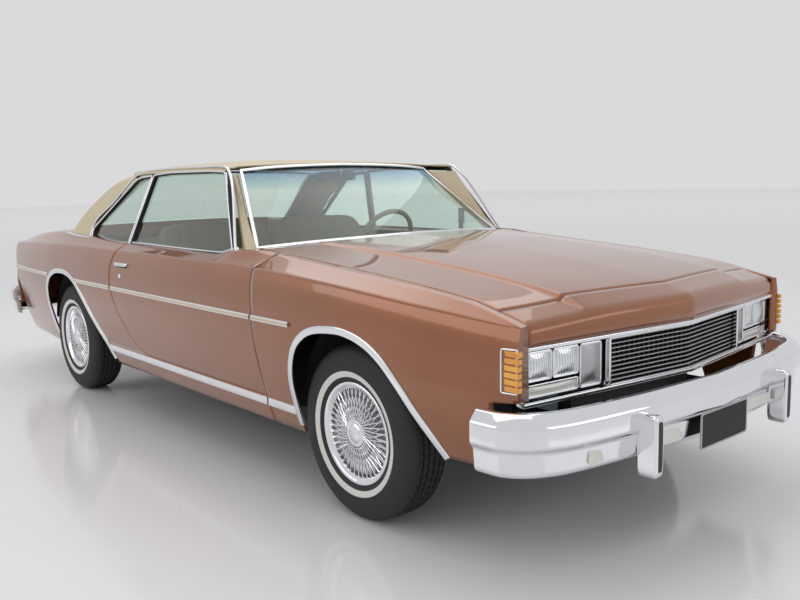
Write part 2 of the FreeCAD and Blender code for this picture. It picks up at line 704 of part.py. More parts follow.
def door_mirror(left_door):
    """Chrome mirror on the left door: a head on a short foot."""
    head = box(872, 1000, 1148, 1200, 1022, 1110)
    foot = box(868, 896, 1156, 1194, 950, 1040).cut(left_door)
    return head.fuse(foot)


# ---------------------------------------------------------------- wheels and knuckles

def tyre():
    """Turned tyre with rounded shoulders, on the X axis at the origin."""
    w, r = TYRE_W / 2, TYRE_R
    half = [(62, RIM_R + 8), (82, RIM_R + 8), (w, r - 78), (w - 8, r - 34), (w - 26, r - 9), (40, r)]
    profile = [V(-x, 0, z) for x, z in half] + [V(x, 0, z) for x, z in reversed(half)]
    face = Part.Face(Part.makePolygon(profile + profile[:1]))
    return face.revolve(V(0, 0, 0), V(1, 0, 0), 360)


def road_wheel():
    """Steel rim with a dished wire cover, its outer side towards -X."""
    r = RIM_R
    section = [(-86, r + 12), (-86, r - 4), (-66, r - 22), (-30, 60), (-66, 42), (-80, 30), (-80, 0),
               (-10, 0), (-10, 70), (-22, 150), (60, r - 14), (86, r - 4), (86, r + 12), (83, r + 7),
               (-83, r + 7)]
    profile = [V(x, 0, z) for x, z in section]
    face = Part.Face(Part.makePolygon(profile + profile[:1]))
    return face.revolve(V(0, 0, 0), V(1, 0, 0), 360)


def knuckle():
    """Upright on the steering axis, with the drum or disc and the stub the wheel turns on."""
    upright = rod((-STEER_X, 0, 249), (-STEER_X, 0, 464), 24)
    stub = rod((-STEER_X, 0, TYRE_R), (-TRACK / 2 + 12, 0, TYRE_R), 30)
    disc = rod((-STEER_X - 22, 0, TYRE_R), (-TRACK / 2 + 14, 0, TYRE_R), 132)
    return fuse([upright, stub, disc])


# ---------------------------------------------------------------- export

def placed(shape, x=0.0, y=0.0, z=0.0):
    copy = shape.copy()
    copy.translate(V(x, y, z))
    return copy


def build():
    frame = chassis_frame()
    houses = Part.makeCompound([pair(wheelhouse(0, 800, 472)), pair(wheelhouse(WHEELBASE, 840, 564))])
    made = {
        "hood": hood(),
        "header_panel": header_panel(),
        "trunk_lid": trunk_lid(),
        "rear_deck_panel": rear_deck_panel(),
        "tail_panel": tail_panel(),
        "tail_lamps": tail_lamps(),
        "roof_panel": roof_panel(),
        "windshield": windshield(),
        "rear_window": rear_window(),
        "cowl_panel": cowl(),
        "windshield_pillars": pair(a_pillar()),
        "quarter_glass": pair(quarter_glass()),
        "headlamps": pair(headlamps()),
        "floor_pan": floor_pan(),
        "wheelhouses": houses.cut(frame),
        "chassis_frame": frame,
        "engine_block": engine(),
        "driveline": fuse([gearbox(), propshaft()]),
        "radiator": radiator(),
        "rear_axle": rear_axle(),
        "suspension_arms": suspension_arms(),
        "fuel_tank": fuel_tank(),
        "exhaust": exhaust(),
        "grille": fuse([grille(), nose_frame()]),
        "front_bumper": front_bumper(),
        "rear_bumper": rear_bumper(),
        "dashboard": dashboard(),
        "front_seat": front_seat(),
        "rear_seat": rear_seat(),
        "steering_wheel": steering_wheel(),
    }
    handed = {
        "fender": fender(),
        "quarter_panel": quarter_panel(),
        "door": door(),
        "door_glass": door_glass(),
        "steering_knuckle": knuckle(),
    }
    for name, shape in handed.items():
        made[name + "_right"] = shape
        made[name + "_left"] = mirrored(shape)
    made["door_mirror"] = door_mirror(made["door_left"])
    for end, station in (("front", 0.0), ("rear", WHEELBASE)):
        for name, shape in (("tyre", tyre()), ("wheel", road_wheel())):
            made[f"{name}_{end}_right"] = placed(shape, -TRACK / 2, station, TYRE_R)
            made[f"{name}_{end}_left"] = placed(mirrored(shape), TRACK / 2, station, TYRE_R)
    return made


os.makedirs("parts", exist_ok=True)
for name, shape in build().items():
    solid = placed(shape, 0, -MIDDLE, 0)
    print(name, "solids", len(solid.Solids), "valid", solid.isValid())
    solid.exportStep(f"parts/{name}.step")
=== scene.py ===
# %% [markdown]
# A long two-door car of the late 1970s: copper-bronze metallic paint, a cream vinyl roof, bright mouldings
# and wire wheel covers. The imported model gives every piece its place, and this notebook makes the surfaces
# that are seen. Lengths are in millimetres and stations run rearwards from the front axle, as in the
# part's source, and a mesh is turned into metres only when it is made.

# %% Load the frame
import json
import math

import bmesh
import bpy
import numpy as np
from mathutils import Matrix, Vector


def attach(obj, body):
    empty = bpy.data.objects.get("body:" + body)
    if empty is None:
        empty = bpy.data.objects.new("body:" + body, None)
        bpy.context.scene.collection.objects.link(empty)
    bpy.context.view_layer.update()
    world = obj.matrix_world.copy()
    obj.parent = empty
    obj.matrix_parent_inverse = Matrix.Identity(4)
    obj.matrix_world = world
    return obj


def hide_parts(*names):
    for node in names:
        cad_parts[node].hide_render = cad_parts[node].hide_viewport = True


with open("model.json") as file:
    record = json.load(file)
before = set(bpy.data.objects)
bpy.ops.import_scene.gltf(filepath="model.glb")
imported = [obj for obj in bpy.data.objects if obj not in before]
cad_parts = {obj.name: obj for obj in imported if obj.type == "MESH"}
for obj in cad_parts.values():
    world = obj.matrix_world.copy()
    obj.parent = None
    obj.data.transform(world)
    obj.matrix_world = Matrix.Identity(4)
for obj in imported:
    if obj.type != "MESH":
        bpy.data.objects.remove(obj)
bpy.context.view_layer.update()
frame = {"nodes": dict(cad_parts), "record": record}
AXLE_Y = -1.648          # the front axle, in metres from the middle of the car

# %% [markdown]
# Shader maths reads best as ordinary expressions. A small class wraps a node socket and overloads the
# operators that are used here, so `mask * 0.5 + 0.2` adds the Math nodes it needs. One method adds any
# other node, and one function mixes two colours, because a Math node would turn them grey.

# %% A socket that does arithmetic
class Shade:
    """A node's output socket that can be added and multiplied like a number."""

    def __init__(self, tree, socket):
        self.tree, self.socket = tree, socket

    def math(self, operation, *values):
        """A Math node with the given operation on links or numbers."""
        node = self.tree.nodes.new("ShaderNodeMath")
        node.operation = operation
        for place, value in zip(node.inputs, values):
            if isinstance(value, Shade):
                self.tree.links.new(value.socket, place)
            else:
                place.default_value = value
        return Shade(self.tree, node.outputs[0])

    def __add__(self, other):
        return self.math("ADD", self, other)

    __radd__ = __add__

    def __mul__(self, other):
        return self.math("MULTIPLY", self, other)

    __rmul__ = __mul__

    def node(self, kind, settings=None, output=0, **values):
        """Any node: its settings first, then the values or links of its sockets by name."""
        node = self.tree.nodes.new("ShaderNode" + kind)
        for key, value in (settings or {}).items():
            setattr(node, key, value)
        for key, value in values.items():
            place = next(s for s in node.inputs if s.name.replace(" ", "_") == key and s.enabled)
            if isinstance(value, Shade):
                self.tree.links.new(value.socket, place)
            else:
                place.default_value = value
        return Shade(self.tree, node.outputs[output])


def link(value, place):
    """Feed a value into a socket."""
    value.tree.links.new(value.socket, place)


def mix(share, dark, light):
    """The colour that lies share of the way from dark to light."""
    return share.node("Mix", {"data_type": "RGBA"}, 2, Factor=share, A=(*dark, 1), B=(*light, 1))


def finish(name, base, rough=0.5, metal=0.0, coat=0.0, grain=None, **more):
    """A Principled material. grain(start, shader) links the sockets that vary over the surface."""
    material = bpy.data.materials.new(name)
    material.use_nodes = True
    tree = material.node_tree
    shader = tree.nodes["Principled BSDF"]
    settings = {"Base Color": (*base, 1), "Roughness": rough, "Metallic": metal, "Coat Weight": coat, **more}
    for key, value in settings.items():
        shader.inputs[key].default_value = value
    start = Shade(tree, tree.nodes.new("ShaderNodeTexCoord").outputs["Object"])
    if grain:
        grain(start, shader)
    return material


def mottled(scale, dark, light, rough, bump=0.0, distance=0.0008):
    """Colour and roughness that wander between two values, with an optional bump."""
    def grain(start, shader):
        noise = start.node("TexNoise", Vector=start, Scale=scale, Detail=4.0)
        link(mix(noise, dark, light), shader.inputs["Base Color"])
        link(noise * (rough[1] - rough[0]) + rough[0], shader.inputs["Roughness"])
        if bump:
            link(start.node("Bump", Strength=bump, Distance=distance, Height=noise), shader.inputs["Normal"])
    return grain


# %% [markdown]
# Metallic paint is aluminium flake in a tinted binder under clear lacquer. The flake is a fine cell
# pattern that changes the tint from cell to cell, and the lacquer is the coat, which gives the sharp
# reflections. Grained vinyl is pressed with a leather pattern, made here from a small cell texture.

# %% Paint and vinyl
FLAKE_SCALE = 1100.0
COPPER_DARK, COPPER_LIGHT = (0.205, 0.062, 0.017), (0.40, 0.140, 0.048)


def flake(start, shader):
    """Each cell's random level and a slow drift share out the tint and the roughness."""
    cells = start.node("TexVoronoi", {"feature": "F1"}, 1, Vector=start, Scale=FLAKE_SCALE)
    level = cells.node("SeparateColor", Color=cells)
    drift = start.node("TexNoise", Vector=start, Scale=3.0, Detail=2.0)
    share = level * 0.55 + drift * 0.45
    link(mix(share, COPPER_DARK, COPPER_LIGHT), shader.inputs["Base Color"])
    link(share * 0.10 + 0.27, shader.inputs["Roughness"])


def leather(dark, light, scale, strength=0.35):
    """Pressed grain: the bump follows the distance to the nearest cell's edge."""
    def grain(start, shader):
        cells = start.node("TexVoronoi", {"feature": "DISTANCE_TO_EDGE"}, 0, Vector=start, Scale=scale)
        blotch = start.node("TexNoise", Vector=start, Scale=9.0, Detail=3.0)
        link(mix(blotch, dark, light), shader.inputs["Base Color"])
        link(blotch * 0.14 + 0.42, shader.inputs["Roughness"])
        link(start.node("Bump", Strength=strength, Distance=0.0006, Height=cells), shader.inputs["Normal"])
    return grain


def weave(dark, light, pitch=900.0):
    """Threads over and under each other: two crossed waves and a fine speckle."""
    def grain(start, shader):
        across = start.node("TexWave", {"bands_direction": "X"}, 1, Vector=start, Scale=pitch / 6)
        along = start.node("TexWave", {"bands_direction": "Z"}, 1, Vector=start, Scale=pitch / 6)
        speckle = start.node("TexNoise", Vector=start, Scale=pitch, Detail=3.0)
        share = (across + along) * 0.25 + speckle * 0.5
        link(mix(share, dark, light), shader.inputs["Base Color"])
        link(share * 0.1 + 0.82, shader.inputs["Roughness"])
        link(start.node("Bump", Strength=0.4, Distance=0.0008, Height=share), shader.inputs["Normal"])
    return grain


# %% [markdown]
# Clear glass is faintly green from its iron. The windshield of such a car has a blue band along its top,
# laid into the interlayer, so the tint there follows the height.

# %% Glass
GREEN_TINT, BLUE_BAND = (0.80, 0.92, 0.86), (0.22, 0.42, 0.60)
BAND_FOOT, BAND_TOP = 1.25, 1.34         # metres above the floor


def shade_band(start, shader):
    """The tint goes from green to blue between two heights."""
    height = start.node("SeparateXYZ", None, 2, Vector=start)
    band = start.node("MapRange", Value=height, From_Min=BAND_FOOT, From_Max=BAND_TOP)
    link(mix(band, GREEN_TINT, BLUE_BAND), shader.inputs["Base Color"])


def ribbed(scale, tint_a, tint_b, rough=(0.05, 0.16)):
    """A moulded lens: fine upright flutes."""
    def grain(start, shader):
        flute = start.node("TexWave", {"bands_direction": "X"}, 1, Vector=start, Scale=scale)
        link(mix(flute, tint_a, tint_b), shader.inputs["Base Color"])
        link(flute * (rough[1] - rough[0]) + rough[0], shader.inputs["Roughness"])
        link(start.node("Bump", Strength=0.5, Distance=0.001, Height=flute), shader.inputs["Normal"])
    return grain


def clear(start, shader):
    """Plate glass: a roughness that barely moves."""
    link(start.node("TexNoise", Vector=start, Scale=2.0) * 0.004, shader.inputs["Roughness"])


def brushed(low, high, rough=(0.04, 0.09)):
    """Bright metal, with a slow change of tone."""
    return mottled(14, low, high, rough)


# %% [markdown]
# One table gives each finish its material: a name, a base colour, a roughness, how metallic it is, its
# coat, and the grain that varies over the surface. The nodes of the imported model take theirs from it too.

# %% The table of finishes
SEE_THROUGH = {"Transmission Weight": 1.0, "IOR": 1.45}
FINISH = {
    "paint": finish("copper_paint", (0.36, 0.13, 0.062), 0.3, 0.55, 1.0,
                    flake, **{"Coat Roughness": 0.03}),
    "vinyl": finish("cream_vinyl", (0.6, 0.5, 0.34),
                    grain=leather((0.60, 0.50, 0.335), (0.67, 0.57, 0.40), 420)),
    "glass": finish("green_glass", GREEN_TINT, 0.0, grain=clear, **SEE_THROUGH),
    "windshield": finish("banded_glass", GREEN_TINT, 0.0, grain=shade_band, **SEE_THROUGH),
    "lamp_glass": finish("lamp_glass", (0.8, 0.83, 0.85), 0.08, 0.65, 1.0,
                         ribbed(28, (0.55, 0.58, 0.60), (0.9, 0.93, 0.95))),
    "lens_clear": finish("park_lens", (0.8, 0.8, 0.76), 0.1, 0.2, 1.0,
                         ribbed(60, (0.62, 0.62, 0.57), (0.85, 0.85, 0.8))),
    "amber": finish("amber_lens", (0.85, 0.33, 0.01), 0.1, 0.0, 1.0,
                    ribbed(60, (0.78, 0.27, 0.005), (0.95, 0.45, 0.03))),
    "lamp_red": finish("red_lens", (0.45, 0.02, 0.015), 0.15, 0.0, 1.0,
                       ribbed(40, (0.36, 0.012, 0.01), (0.55, 0.03, 0.02))),
    "chrome": finish("chrome", (0.82, 0.83, 0.85), 0.06, 1.0,
                     grain=brushed((0.78, 0.79, 0.81), (0.87, 0.88, 0.89))),
    "satin": finish("satin_silver", (0.5, 0.5, 0.5), 0.3, 0.9,
                    grain=brushed((0.42, 0.42, 0.42), (0.52, 0.52, 0.52), (0.25, 0.35))),
    "tyre": finish("rubber", (0.02, 0.02, 0.02), 0.7,
                   grain=mottled(160, (0.014, 0.014, 0.014), (0.028, 0.028, 0.028), (0.55, 0.75), 0.2)),
    "whitewall": finish("white_rubber", (0.75, 0.74, 0.71), 0.5,
                        grain=mottled(60, (0.70, 0.69, 0.65), (0.80, 0.79, 0.76), (0.4, 0.55))),
    "rubber": finish("black_strip", (0.02, 0.02, 0.021), 0.5,
                     grain=mottled(200, (0.016, 0.016, 0.017), (0.03, 0.03, 0.031), (0.4, 0.6), 0.3)),
    # Near-black for the window channels, dials, mirror, plate, grille and lamp backs and seat frames, and
    # painted shade where it fills the door handle's recess.
    "dark": finish("dark_recess", (0.012, 0.012, 0.013), 0.6,
                   grain=mottled(40, (0.008, 0.008, 0.009), (0.02, 0.02, 0.021), (0.5, 0.7))),
    "trim": finish("dash_vinyl", (0.30, 0.24, 0.13),
                   grain=leather((0.25, 0.20, 0.11), (0.31, 0.25, 0.14), 500)),
    "cloth": finish("seat_cloth", (0.38, 0.32, 0.2), 0.9,
                    grain=weave((0.30, 0.25, 0.15), (0.44, 0.37, 0.24))),
    "cast_iron": finish("engine_paint", (0.10, 0.14, 0.19),
                        grain=mottled(80, (0.08, 0.11, 0.16), (0.12, 0.16, 0.21), (0.4, 0.6), 0.3)),
    "steel": finish("dull_steel", (0.3, 0.3, 0.29), 0.5, 0.8,
                    grain=mottled(60, (0.25, 0.25, 0.24), (0.36, 0.35, 0.33), (0.4, 0.6))),
    "radiator_black": finish("radiator_black", (0.02, 0.02, 0.02),
                             grain=mottled(60, (0.015, 0.015, 0.015), (0.03, 0.03, 0.03), (0.5, 0.7))),
    "chassis_black": finish("underbody_black", (0.02, 0.02, 0.02),
                            grain=mottled(60, (0.016, 0.016, 0.016), (0.03, 0.03, 0.03), (0.5, 0.7), 0.2)),
}
slot_of = {entry["node"]: entry["material_slot"] for entry in frame["record"]["subparts"]}
for name, node in frame["nodes"].items():
    node.data.materials.clear()
    node.data.materials.append(FINISH["windshield" if name == "windshield" else slot_of[name]])
print("finished nodes", len(frame["nodes"]))

# %% [markdown]
# Every surface is a grid of points over two parameters, or a section swept along a line. The car's long
# curves are smooth lines through a few knots, the same ones that the frame was made from.

# %% Curves and grids
def smooth(knots, t):
    """Monotone cubic through (position, value) knots, flat beyond both ends. Each knot's slope is the
    harmonic mean of its neighbours' slopes, or zero where they differ in sign."""
    place, value = np.array(knots, float).T
    t = np.clip(np.asarray(t, float), place[0], place[-1])
    step = np.diff(place)
    slope = np.diff(value) / step
    same = slope[:-1] * slope[1:] > 0
    total = np.where(same, slope[:-1] + slope[1:], 1.0)
    tangent = np.concatenate([slope[:1], np.where(same, 2 * slope[:-1] * slope[1:] / total, 0.0), slope[-1:]])
    i = np.clip(np.searchsorted(place, t, side="right") - 1, 0, len(slope) - 1)
    s, h = (t - place[i]) / step[i], step[i]
    return ((1 + 2 * s) * (1 - s) ** 2 * value[i] + s * (1 - s) ** 2 * h * tangent[i]
            + s * s * (3 - 2 * s) * value[i + 1] + s * s * (s - 1) * h * tangent[i + 1])


def curve(points, count):
    """Evenly spread points on a smooth line through the given ones."""
    points = np.array(points, float)
    run = np.concatenate([[0], np.cumsum(np.linalg.norm(np.diff(points, axis=0), axis=1))])
    t = np.linspace(0, run[-1], count)
    return np.stack([smooth(np.stack([run, column], 1), t) for column in points.T], -1)


def bend(a, b, c, f):
    """Quadratic curve from a to c, pulled towards b: (1-f)^2 a + 2f(1-f) b + f^2 c."""
    return (1 - f) ** 2 * a + 2 * f * (1 - f) * b + f * f * c


def rounded(outline, radius, steps=5):
    """A closed outline whose corners are quadratic curves that start radius before each corner."""
    corners = np.array(outline, float)
    pieces = []
    for a, b, c in zip(np.roll(corners, 1, 0), corners, np.roll(corners, -1, 0)):
        before, after = np.linalg.norm(a - b), np.linalg.norm(c - b)
        start = b + (a - b) / before * min(radius, before * 0.45)
        end = b + (c - b) / after * min(radius, after * 0.45)
        pieces += [bend(start, b, end, f) for f in np.linspace(0, 1, steps)]
    return np.array(pieces)


def quads(rows, cols, wrap_rows, wrap_cols):
    """Corner numbers of a grid's faces."""
    r = np.arange(rows if wrap_rows else rows - 1)[:, None]
    c = np.arange(cols if wrap_cols else cols - 1)[None, :]
    r2, c2 = (r + 1) % rows, (c + 1) % cols
    corners = np.broadcast_arrays(r * cols + c, r * cols + c2, r2 * cols + c2, r2 * cols + c)
    return np.stack(corners, -1).reshape(-1, 4)


WELD = 0.0001
SHARP = math.radians(38)


def piece(name, grids, body="car_body", wall=0.0, facing=None, stands_for=(), slot=None, flip=False):
    """One object from grids given as (points, finish, wrap rows, wrap columns), in millimetres. flip makes
    the car's left side from the right. facing is a direction that most faces look towards, and wall is a
    thickness inwards."""
    points, faces, kinds, start = [], [], [], 0
    finishes = list(dict.fromkeys(grid[1] for grid in grids))
    for grid, finish_name, *wraps in grids:
        grid = np.asarray(grid, float)
        wraps = wraps or (False, False)
        cells = quads(*grid.shape[:2], *wraps)
        points.append(grid.reshape(-1, 3))
        faces.append(cells + start)
        kinds.append(np.full(len(cells), finishes.index(finish_name)))
        start += len(points[-1])
    place = np.concatenate(points) * 0.001 + np.array([0, AXLE_Y, 0])
    place[:, 0] *= -1 if flip else 1
    mesh = bpy.data.meshes.new(name)
    mesh.from_pydata(place, [], np.concatenate(faces).tolist())
    mesh.polygons.foreach_set("material_index", np.concatenate(kinds).astype(np.int32))
    work = bmesh.new()
    work.from_mesh(mesh)
    bmesh.ops.remove_doubles(work, verts=work.verts, dist=WELD)
    bmesh.ops.dissolve_degenerate(work, edges=work.edges, dist=WELD / 10)
    bmesh.ops.recalc_face_normals(work, faces=work.faces)
    if facing is not None:
        look = Vector(facing)
        look.x *= -1 if flip else 1
        if sum(f.normal.dot(look) * f.calc_area() for f in work.faces) < 0:
            bmesh.ops.reverse_faces(work, faces=work.faces)
    work.to_mesh(mesh)
    work.free()
    mesh.shade_smooth()
    mesh.set_sharp_from_angle(angle=SHARP)
    for key in finishes:
        mesh.materials.append(FINISH[key])
    made = bpy.data.objects.new(name, mesh)
    bpy.context.scene.collection.objects.link(made)
    if wall:
        solid = made.modifiers.new("wall", "SOLIDIFY")
        solid.thickness, solid.offset = wall * 0.001, -1
    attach(made, body)
    if stands_for:
        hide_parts(*stands_for)
    return made


def both(name, grids, body="car_body", stands_for=(), **more):
    """The same piece on both sides. A {} in body or stands_for becomes right or left."""
    for side, flip in (("right", False), ("left", True)):
        replaced = [node.format(side) for node in stands_for]
        piece(f"{name}_{side}", grids, body.format(side), flip=flip, stands_for=replaced, **more)


def sweep(path, out, section, finish_name, closed=False):
    """A closed section of (outwards, upwards) offsets carried along a path, with both ends shut. out is
    the outward direction at each point, and upwards is square to it and to the path."""
    path = np.asarray(path, float)
    ahead = np.roll(path, -1, 0) - np.roll(path, 1, 0) if closed else np.gradient(path, axis=0)
    ahead /= np.linalg.norm(ahead, axis=1)[:, None]
    out = np.broadcast_to(np.asarray(out, float), path.shape)
    out = out - ahead * (out * ahead).sum(1)[:, None]
    out = out / np.linalg.norm(out, axis=1)[:, None]
    rise = np.cross(ahead, out)
    section = np.asarray(section, float)
    rings = path[:, None] + out[:, None] * section[None, :, :1] + rise[:, None] * section[None, :, 1:]
    if closed:
        return [(rings, finish_name, True, True)]
    caps = [(np.stack([ring, np.broadcast_to(ring.mean(0), ring.shape)]), finish_name, False, True)
            for ring in (rings[0], rings[-1])]
    return [(rings, finish_name, False, True)] + caps


def spin(profile, centre, finish_name, steps=96, closed=False):
    """A profile of (along the axle, radius) turned about the wheel's axis."""
    profile = np.asarray(profile, float)
    turn = np.linspace(0, 2 * math.pi, steps, endpoint=False)
    along = np.broadcast_to(profile[:, :1], (len(profile), steps))
    grid = np.stack([along, profile[:, 1:] * np.cos(turn), profile[:, 1:] * np.sin(turn)], -1)
    return (grid + np.array(centre), finish_name, closed, True)


def cushion(low, high, finish_name, power=0.25, rows=25, cols=48):
    """A rounded block between two corners: a ball whose sines and cosines are raised to power."""
    low, high = np.array(low, float), np.array(high, float)

    def swell(value):
        return np.sign(value) * np.abs(value) ** power

    v = np.linspace(-math.pi / 2, math.pi / 2, rows)[:, None]
    u = np.linspace(-math.pi, math.pi, cols, endpoint=False)[None, :]
    grid = np.stack([swell(np.cos(v)) * swell(np.cos(u)), swell(np.cos(v)) * swell(np.sin(u)),
                     swell(np.sin(v)) + 0 * u], -1)
    return ((low + high) / 2 + grid * (high - low) / 2, finish_name, False, True)


def bar(back, face, width, radius, steps=4):
    """A rounded section from back, inside the body, to face, outside it, and width across."""
    half = width / 2
    return rounded([(back, -half), (face, -half), (face, half), (back, half)], radius, steps)


BEDDED = 3               # how far a moulding's back lies inside the panel


def strip(width, height):
    """A flat moulding's section, which stands height off the surface."""
    return bar(-BEDDED, height, width, min(height, width / 2) * 0.8)


print("a 20 by 7 moulding's section has", len(strip(20, 7)), "points")


# %% [markdown]
# The body side is one surface. Its section rises from the sill to a crease, over a hollow shoulder to
# the crest, and in along a narrow strip to the hood, glass or trunk. The panels are cut from it along
# their real shut lines, and the wheel arches are holes between two edges.

# %% The body side's section
SILL_Z, CREASE_INSET, HIGH = 262, 20, 800
UNDER_CREASE, CREASE_LEVEL = 60, 830       # how far below the crease the side's knots start to follow it
CREASE_ROLL, SHOULDER_ROLL, CREST_ROLL = 12, 0.14, 0.35   # where the rounded corners start and end
SHOULDER_HOLLOW = 1.15
HALF_WIDTH = [(-800, 838), (-600, 884), (-300, 926), (0, 944), (500, 953), (1200, 956),
              (2300, 956), (3000, 948), (3500, 928), (3850, 904), (4070, 884)]
CREASE_Z = [(-800, 829), (-600, 856), (-300, 886), (0, 911), (400, 932), (900, 944),
            (2400, 946), (3000, 938), (3500, 926), (4070, 908)]
CREST_OUT = [(-800, 822), (-690, 812), (-500, 809), (0, 811), (560, 815), (840, 868),
             (1000, 873), (2300, 872), (2600, 858), (2950, 836), (3500, 812), (4070, 788)]
CREST_Z = [(-800, 833), (-690, 860), (-530, 895), (-100, 938), (320, 970), (585, 990), (720, 1000),
           (840, 999), (1010, 973), (2000, 981), (2300, 986), (2600, 1003), (2950, 1020),
           (3200, 1013), (3500, 996), (3850, 958), (4070, 915)]
TOP_OUT = [(-800, 790), (-690, 785), (560, 785), (840, 835), (1000, 838), (2300, 838),
           (2600, 812), (2900, 768), (3040, 700), (3150, 680), (4070, 680)]
TOP_RISE = [(-800, 2), (2300, 3), (2950, 14), (3500, 13), (4070, 12)]
SIDE_KNOTS = [(SILL_Z, 104), (300, 88), (380, 61), (460, 38), (560, 15), (650, 3), (740, 0), (830, 5),
              (890, 20)]


def side_out(st, z):
    """Half width of the body side at a station and height: the plan's half width less an inset read off
    the side's knots, whose heights stretch below the crease so that they follow it."""
    turn = smooth(CREASE_Z, st) - UNDER_CREASE
    level = np.where(z <= turn, SILL_Z + (z - SILL_Z) * (CREASE_LEVEL - SILL_Z) / (turn - SILL_Z),
                     CREASE_LEVEL + z - turn)
    return smooth(HALF_WIDTH, st) - smooth(SIDE_KNOTS, level)


def side_row(kind, f, st):
    """Points of one row of the side at stations st. A low row has the height f, and the others go from
    0 to 1 over the upper side, the rounded crease, the shoulder, the rounded crest and the top strip."""
    st = np.asarray(st, float)
    crease = smooth(CREASE_Z, st)
    corner = np.stack([smooth(HALF_WIDTH, st) - CREASE_INSET, crease], -1)
    crest = np.stack([smooth(CREST_OUT, st), smooth(CREST_Z, st)], -1)
    top = np.stack([smooth(TOP_OUT, st), crest[..., 1] + smooth(TOP_RISE, st)], -1)

    def side(z):
        z = np.broadcast_to(z, st.shape)
        return np.stack([side_out(st, z), z], -1)

    def shoulder(s):
        return corner + (crest - corner) * np.array([s, s ** SHOULDER_HOLLOW])

    under, near_crest = crease - CREASE_ROLL, 1 - SHOULDER_ROLL
    place = {"low": lambda: side(f), "high": lambda: side(HIGH + (under - HIGH) * f),
             "crease": lambda: bend(side(under), corner, shoulder(SHOULDER_ROLL), f),
             "shoulder": lambda: shoulder(SHOULDER_ROLL + (near_crest - SHOULDER_ROLL) * f),
             "crest": lambda: bend(shoulder(near_crest), crest, crest + (top - crest) * CREST_ROLL, f),
             "top": lambda: crest + (top - crest) * (CREST_ROLL + (1 - CREST_ROLL) * f)}[kind]()
    return np.stack([-place[..., 0], st, place[..., 1]], -1)


ROWS_IN_EACH = (("high", 6), ("crease", 5), ("shoulder", 6), ("crest", 5), ("top", 4))
UPPER_ROWS = [(kind, i / count) for kind, count in ROWS_IN_EACH for i in range(1, count + 1)]


def side_patch(rows, front, rear, columns, near):
    """The side between two edges given as (height, station) knots. near gives the two stations at
    which a row's height is read for its edges."""
    grid = []
    for kind, f in rows:
        a, b = (smooth(edge, side_row(kind, f, [station])[0, 2])
                for edge, station in zip((front, rear), near))
        grid.append(side_row(kind, f, a + (b - a) * np.linspace(0, 1, columns)))
    return np.array(grid)


def upright(station):
    """A straight upright edge."""
    return [(0, station), (2000, station)]


def low_rows(*stops):
    """Rows at heights that run evenly between stops given as (height, number of rows)."""
    heights = [stops[0][0]]
    for (a, _), (b, count) in zip(stops, stops[1:]):
        heights += list(a + (b - a) * np.arange(1, count + 1) / count)
    return [("low", z) for z in heights]


print("rows from the upper side to the top strip", len(UPPER_ROWS))

# %% [markdown]
# The fender, the door and the quarter panel meet at shut lines a few millimetres wide. A wheel arch is two
# edge lines, one ahead of the wheel and one behind it, that meet at its top. Each line is a few knots of
# height and station, so the panels on both sides of a gap read the same numbers.

# %% Shut lines and arches
FRONT_ARCH_FORE = [(100, -500), (340, -480), (410, -440), (490, -385), (590, -315), (665, -245), (715, -165),
                   (740, -85), (748, -15)]
FRONT_ARCH_AFT = [(100, 365), (330, 362), (470, 352), (580, 318), (668, 258), (724, 165), (742, 75),
                  (748, -15)]
REAR_ARCH_FORE = [(100, 2300), (330, 2315), (385, 2355), (465, 2420), (565, 2500), (665, 2590), (735, 2690),
                  (767, 2790), (776, 2880)]
REAR_ARCH_AFT = [(100, 3292), (380, 3290), (520, 3278), (640, 3235), (715, 3165), (762, 3050), (774, 2960),
                 (776, 2880)]
FENDER_FRONT = [(0, -700), (591, -700), (593, -792), (2000, -792)]
DOOR_REAR = [(390, 1790), (425, 1880), (498, 1960), (595, 2030), (670, 2072), (745, 2094), (822, 2085),
             (890, 2052), (940, 2012), (980, 2003), (1100, 2003)]
QUARTER_FRONT = [(385, 1790), (420, 1886), (494, 1966), (593, 2036), (669, 2078), (745, 2100), (823, 2091),
                 (892, 2058), (941, 2018), (980, 2009), (1100, 2009)]
DOOR_FRONT, BODY_END, HALF_GAP = 585, 4038, 2.5
SKIN = 12.0                  # a body panel's thickness
SIDE_FACING = (-1, 0, 0.3)   # most of a right side panel looks out and a little up


def painted(*grids):
    return [(grid, "paint") for grid in grids]


print("front arch from", FRONT_ARCH_FORE[0][1], "to", FRONT_ARCH_AFT[0][1], "behind the axle")

# %% [markdown]
# A fender is one pressing that wraps the wheel. Cutting a hole in a mesh leaves ragged faces round it, so
# the fender is two patches that end on the arch: one ahead of the wheel and one behind it. Their rows
# above the arch are the same, and a flat strip closes the nose.

# %% Fenders
FENDER_FOOT, NOSE_FOOT, FOOT_ROWS = 352, 590, 13   # ahead of the wheel it ends behind the bumper's end
NOSE_ST, NOSE_INNER = -792, 786
shared = low_rows((NOSE_FOOT, 0), (600, 1), (700, 8), (736, 6), (748, 6), (HIGH, 4))[1:] + UPPER_ROWS
fore_rows = low_rows((FENDER_FOOT, 0), (NOSE_FOOT, FOOT_ROWS)) + shared
aft_rows = low_rows((SILL_Z, 0), (NOSE_FOOT, FOOT_ROWS)) + shared
fore = side_patch(fore_rows, FENDER_FRONT, FRONT_ARCH_FORE, 26, (NOSE_ST, -400))
aft = side_patch(aft_rows, FRONT_ARCH_AFT, upright(DOOR_FRONT - HALF_GAP), 30, (300, DOOR_FRONT))
nose_edge = fore[FOOT_ROWS + 1:, 0]
nose = np.stack([nose_edge, nose_edge * [0, 1, 1] + [-NOSE_INNER, 0, 0]], 1)
both("fender_skin", painted(fore, aft, nose), wall=SKIN, facing=SIDE_FACING, stands_for=["fender_{}"],
     slot="paint")
print("fender grids", fore.shape, aft.shape, nose.shape)

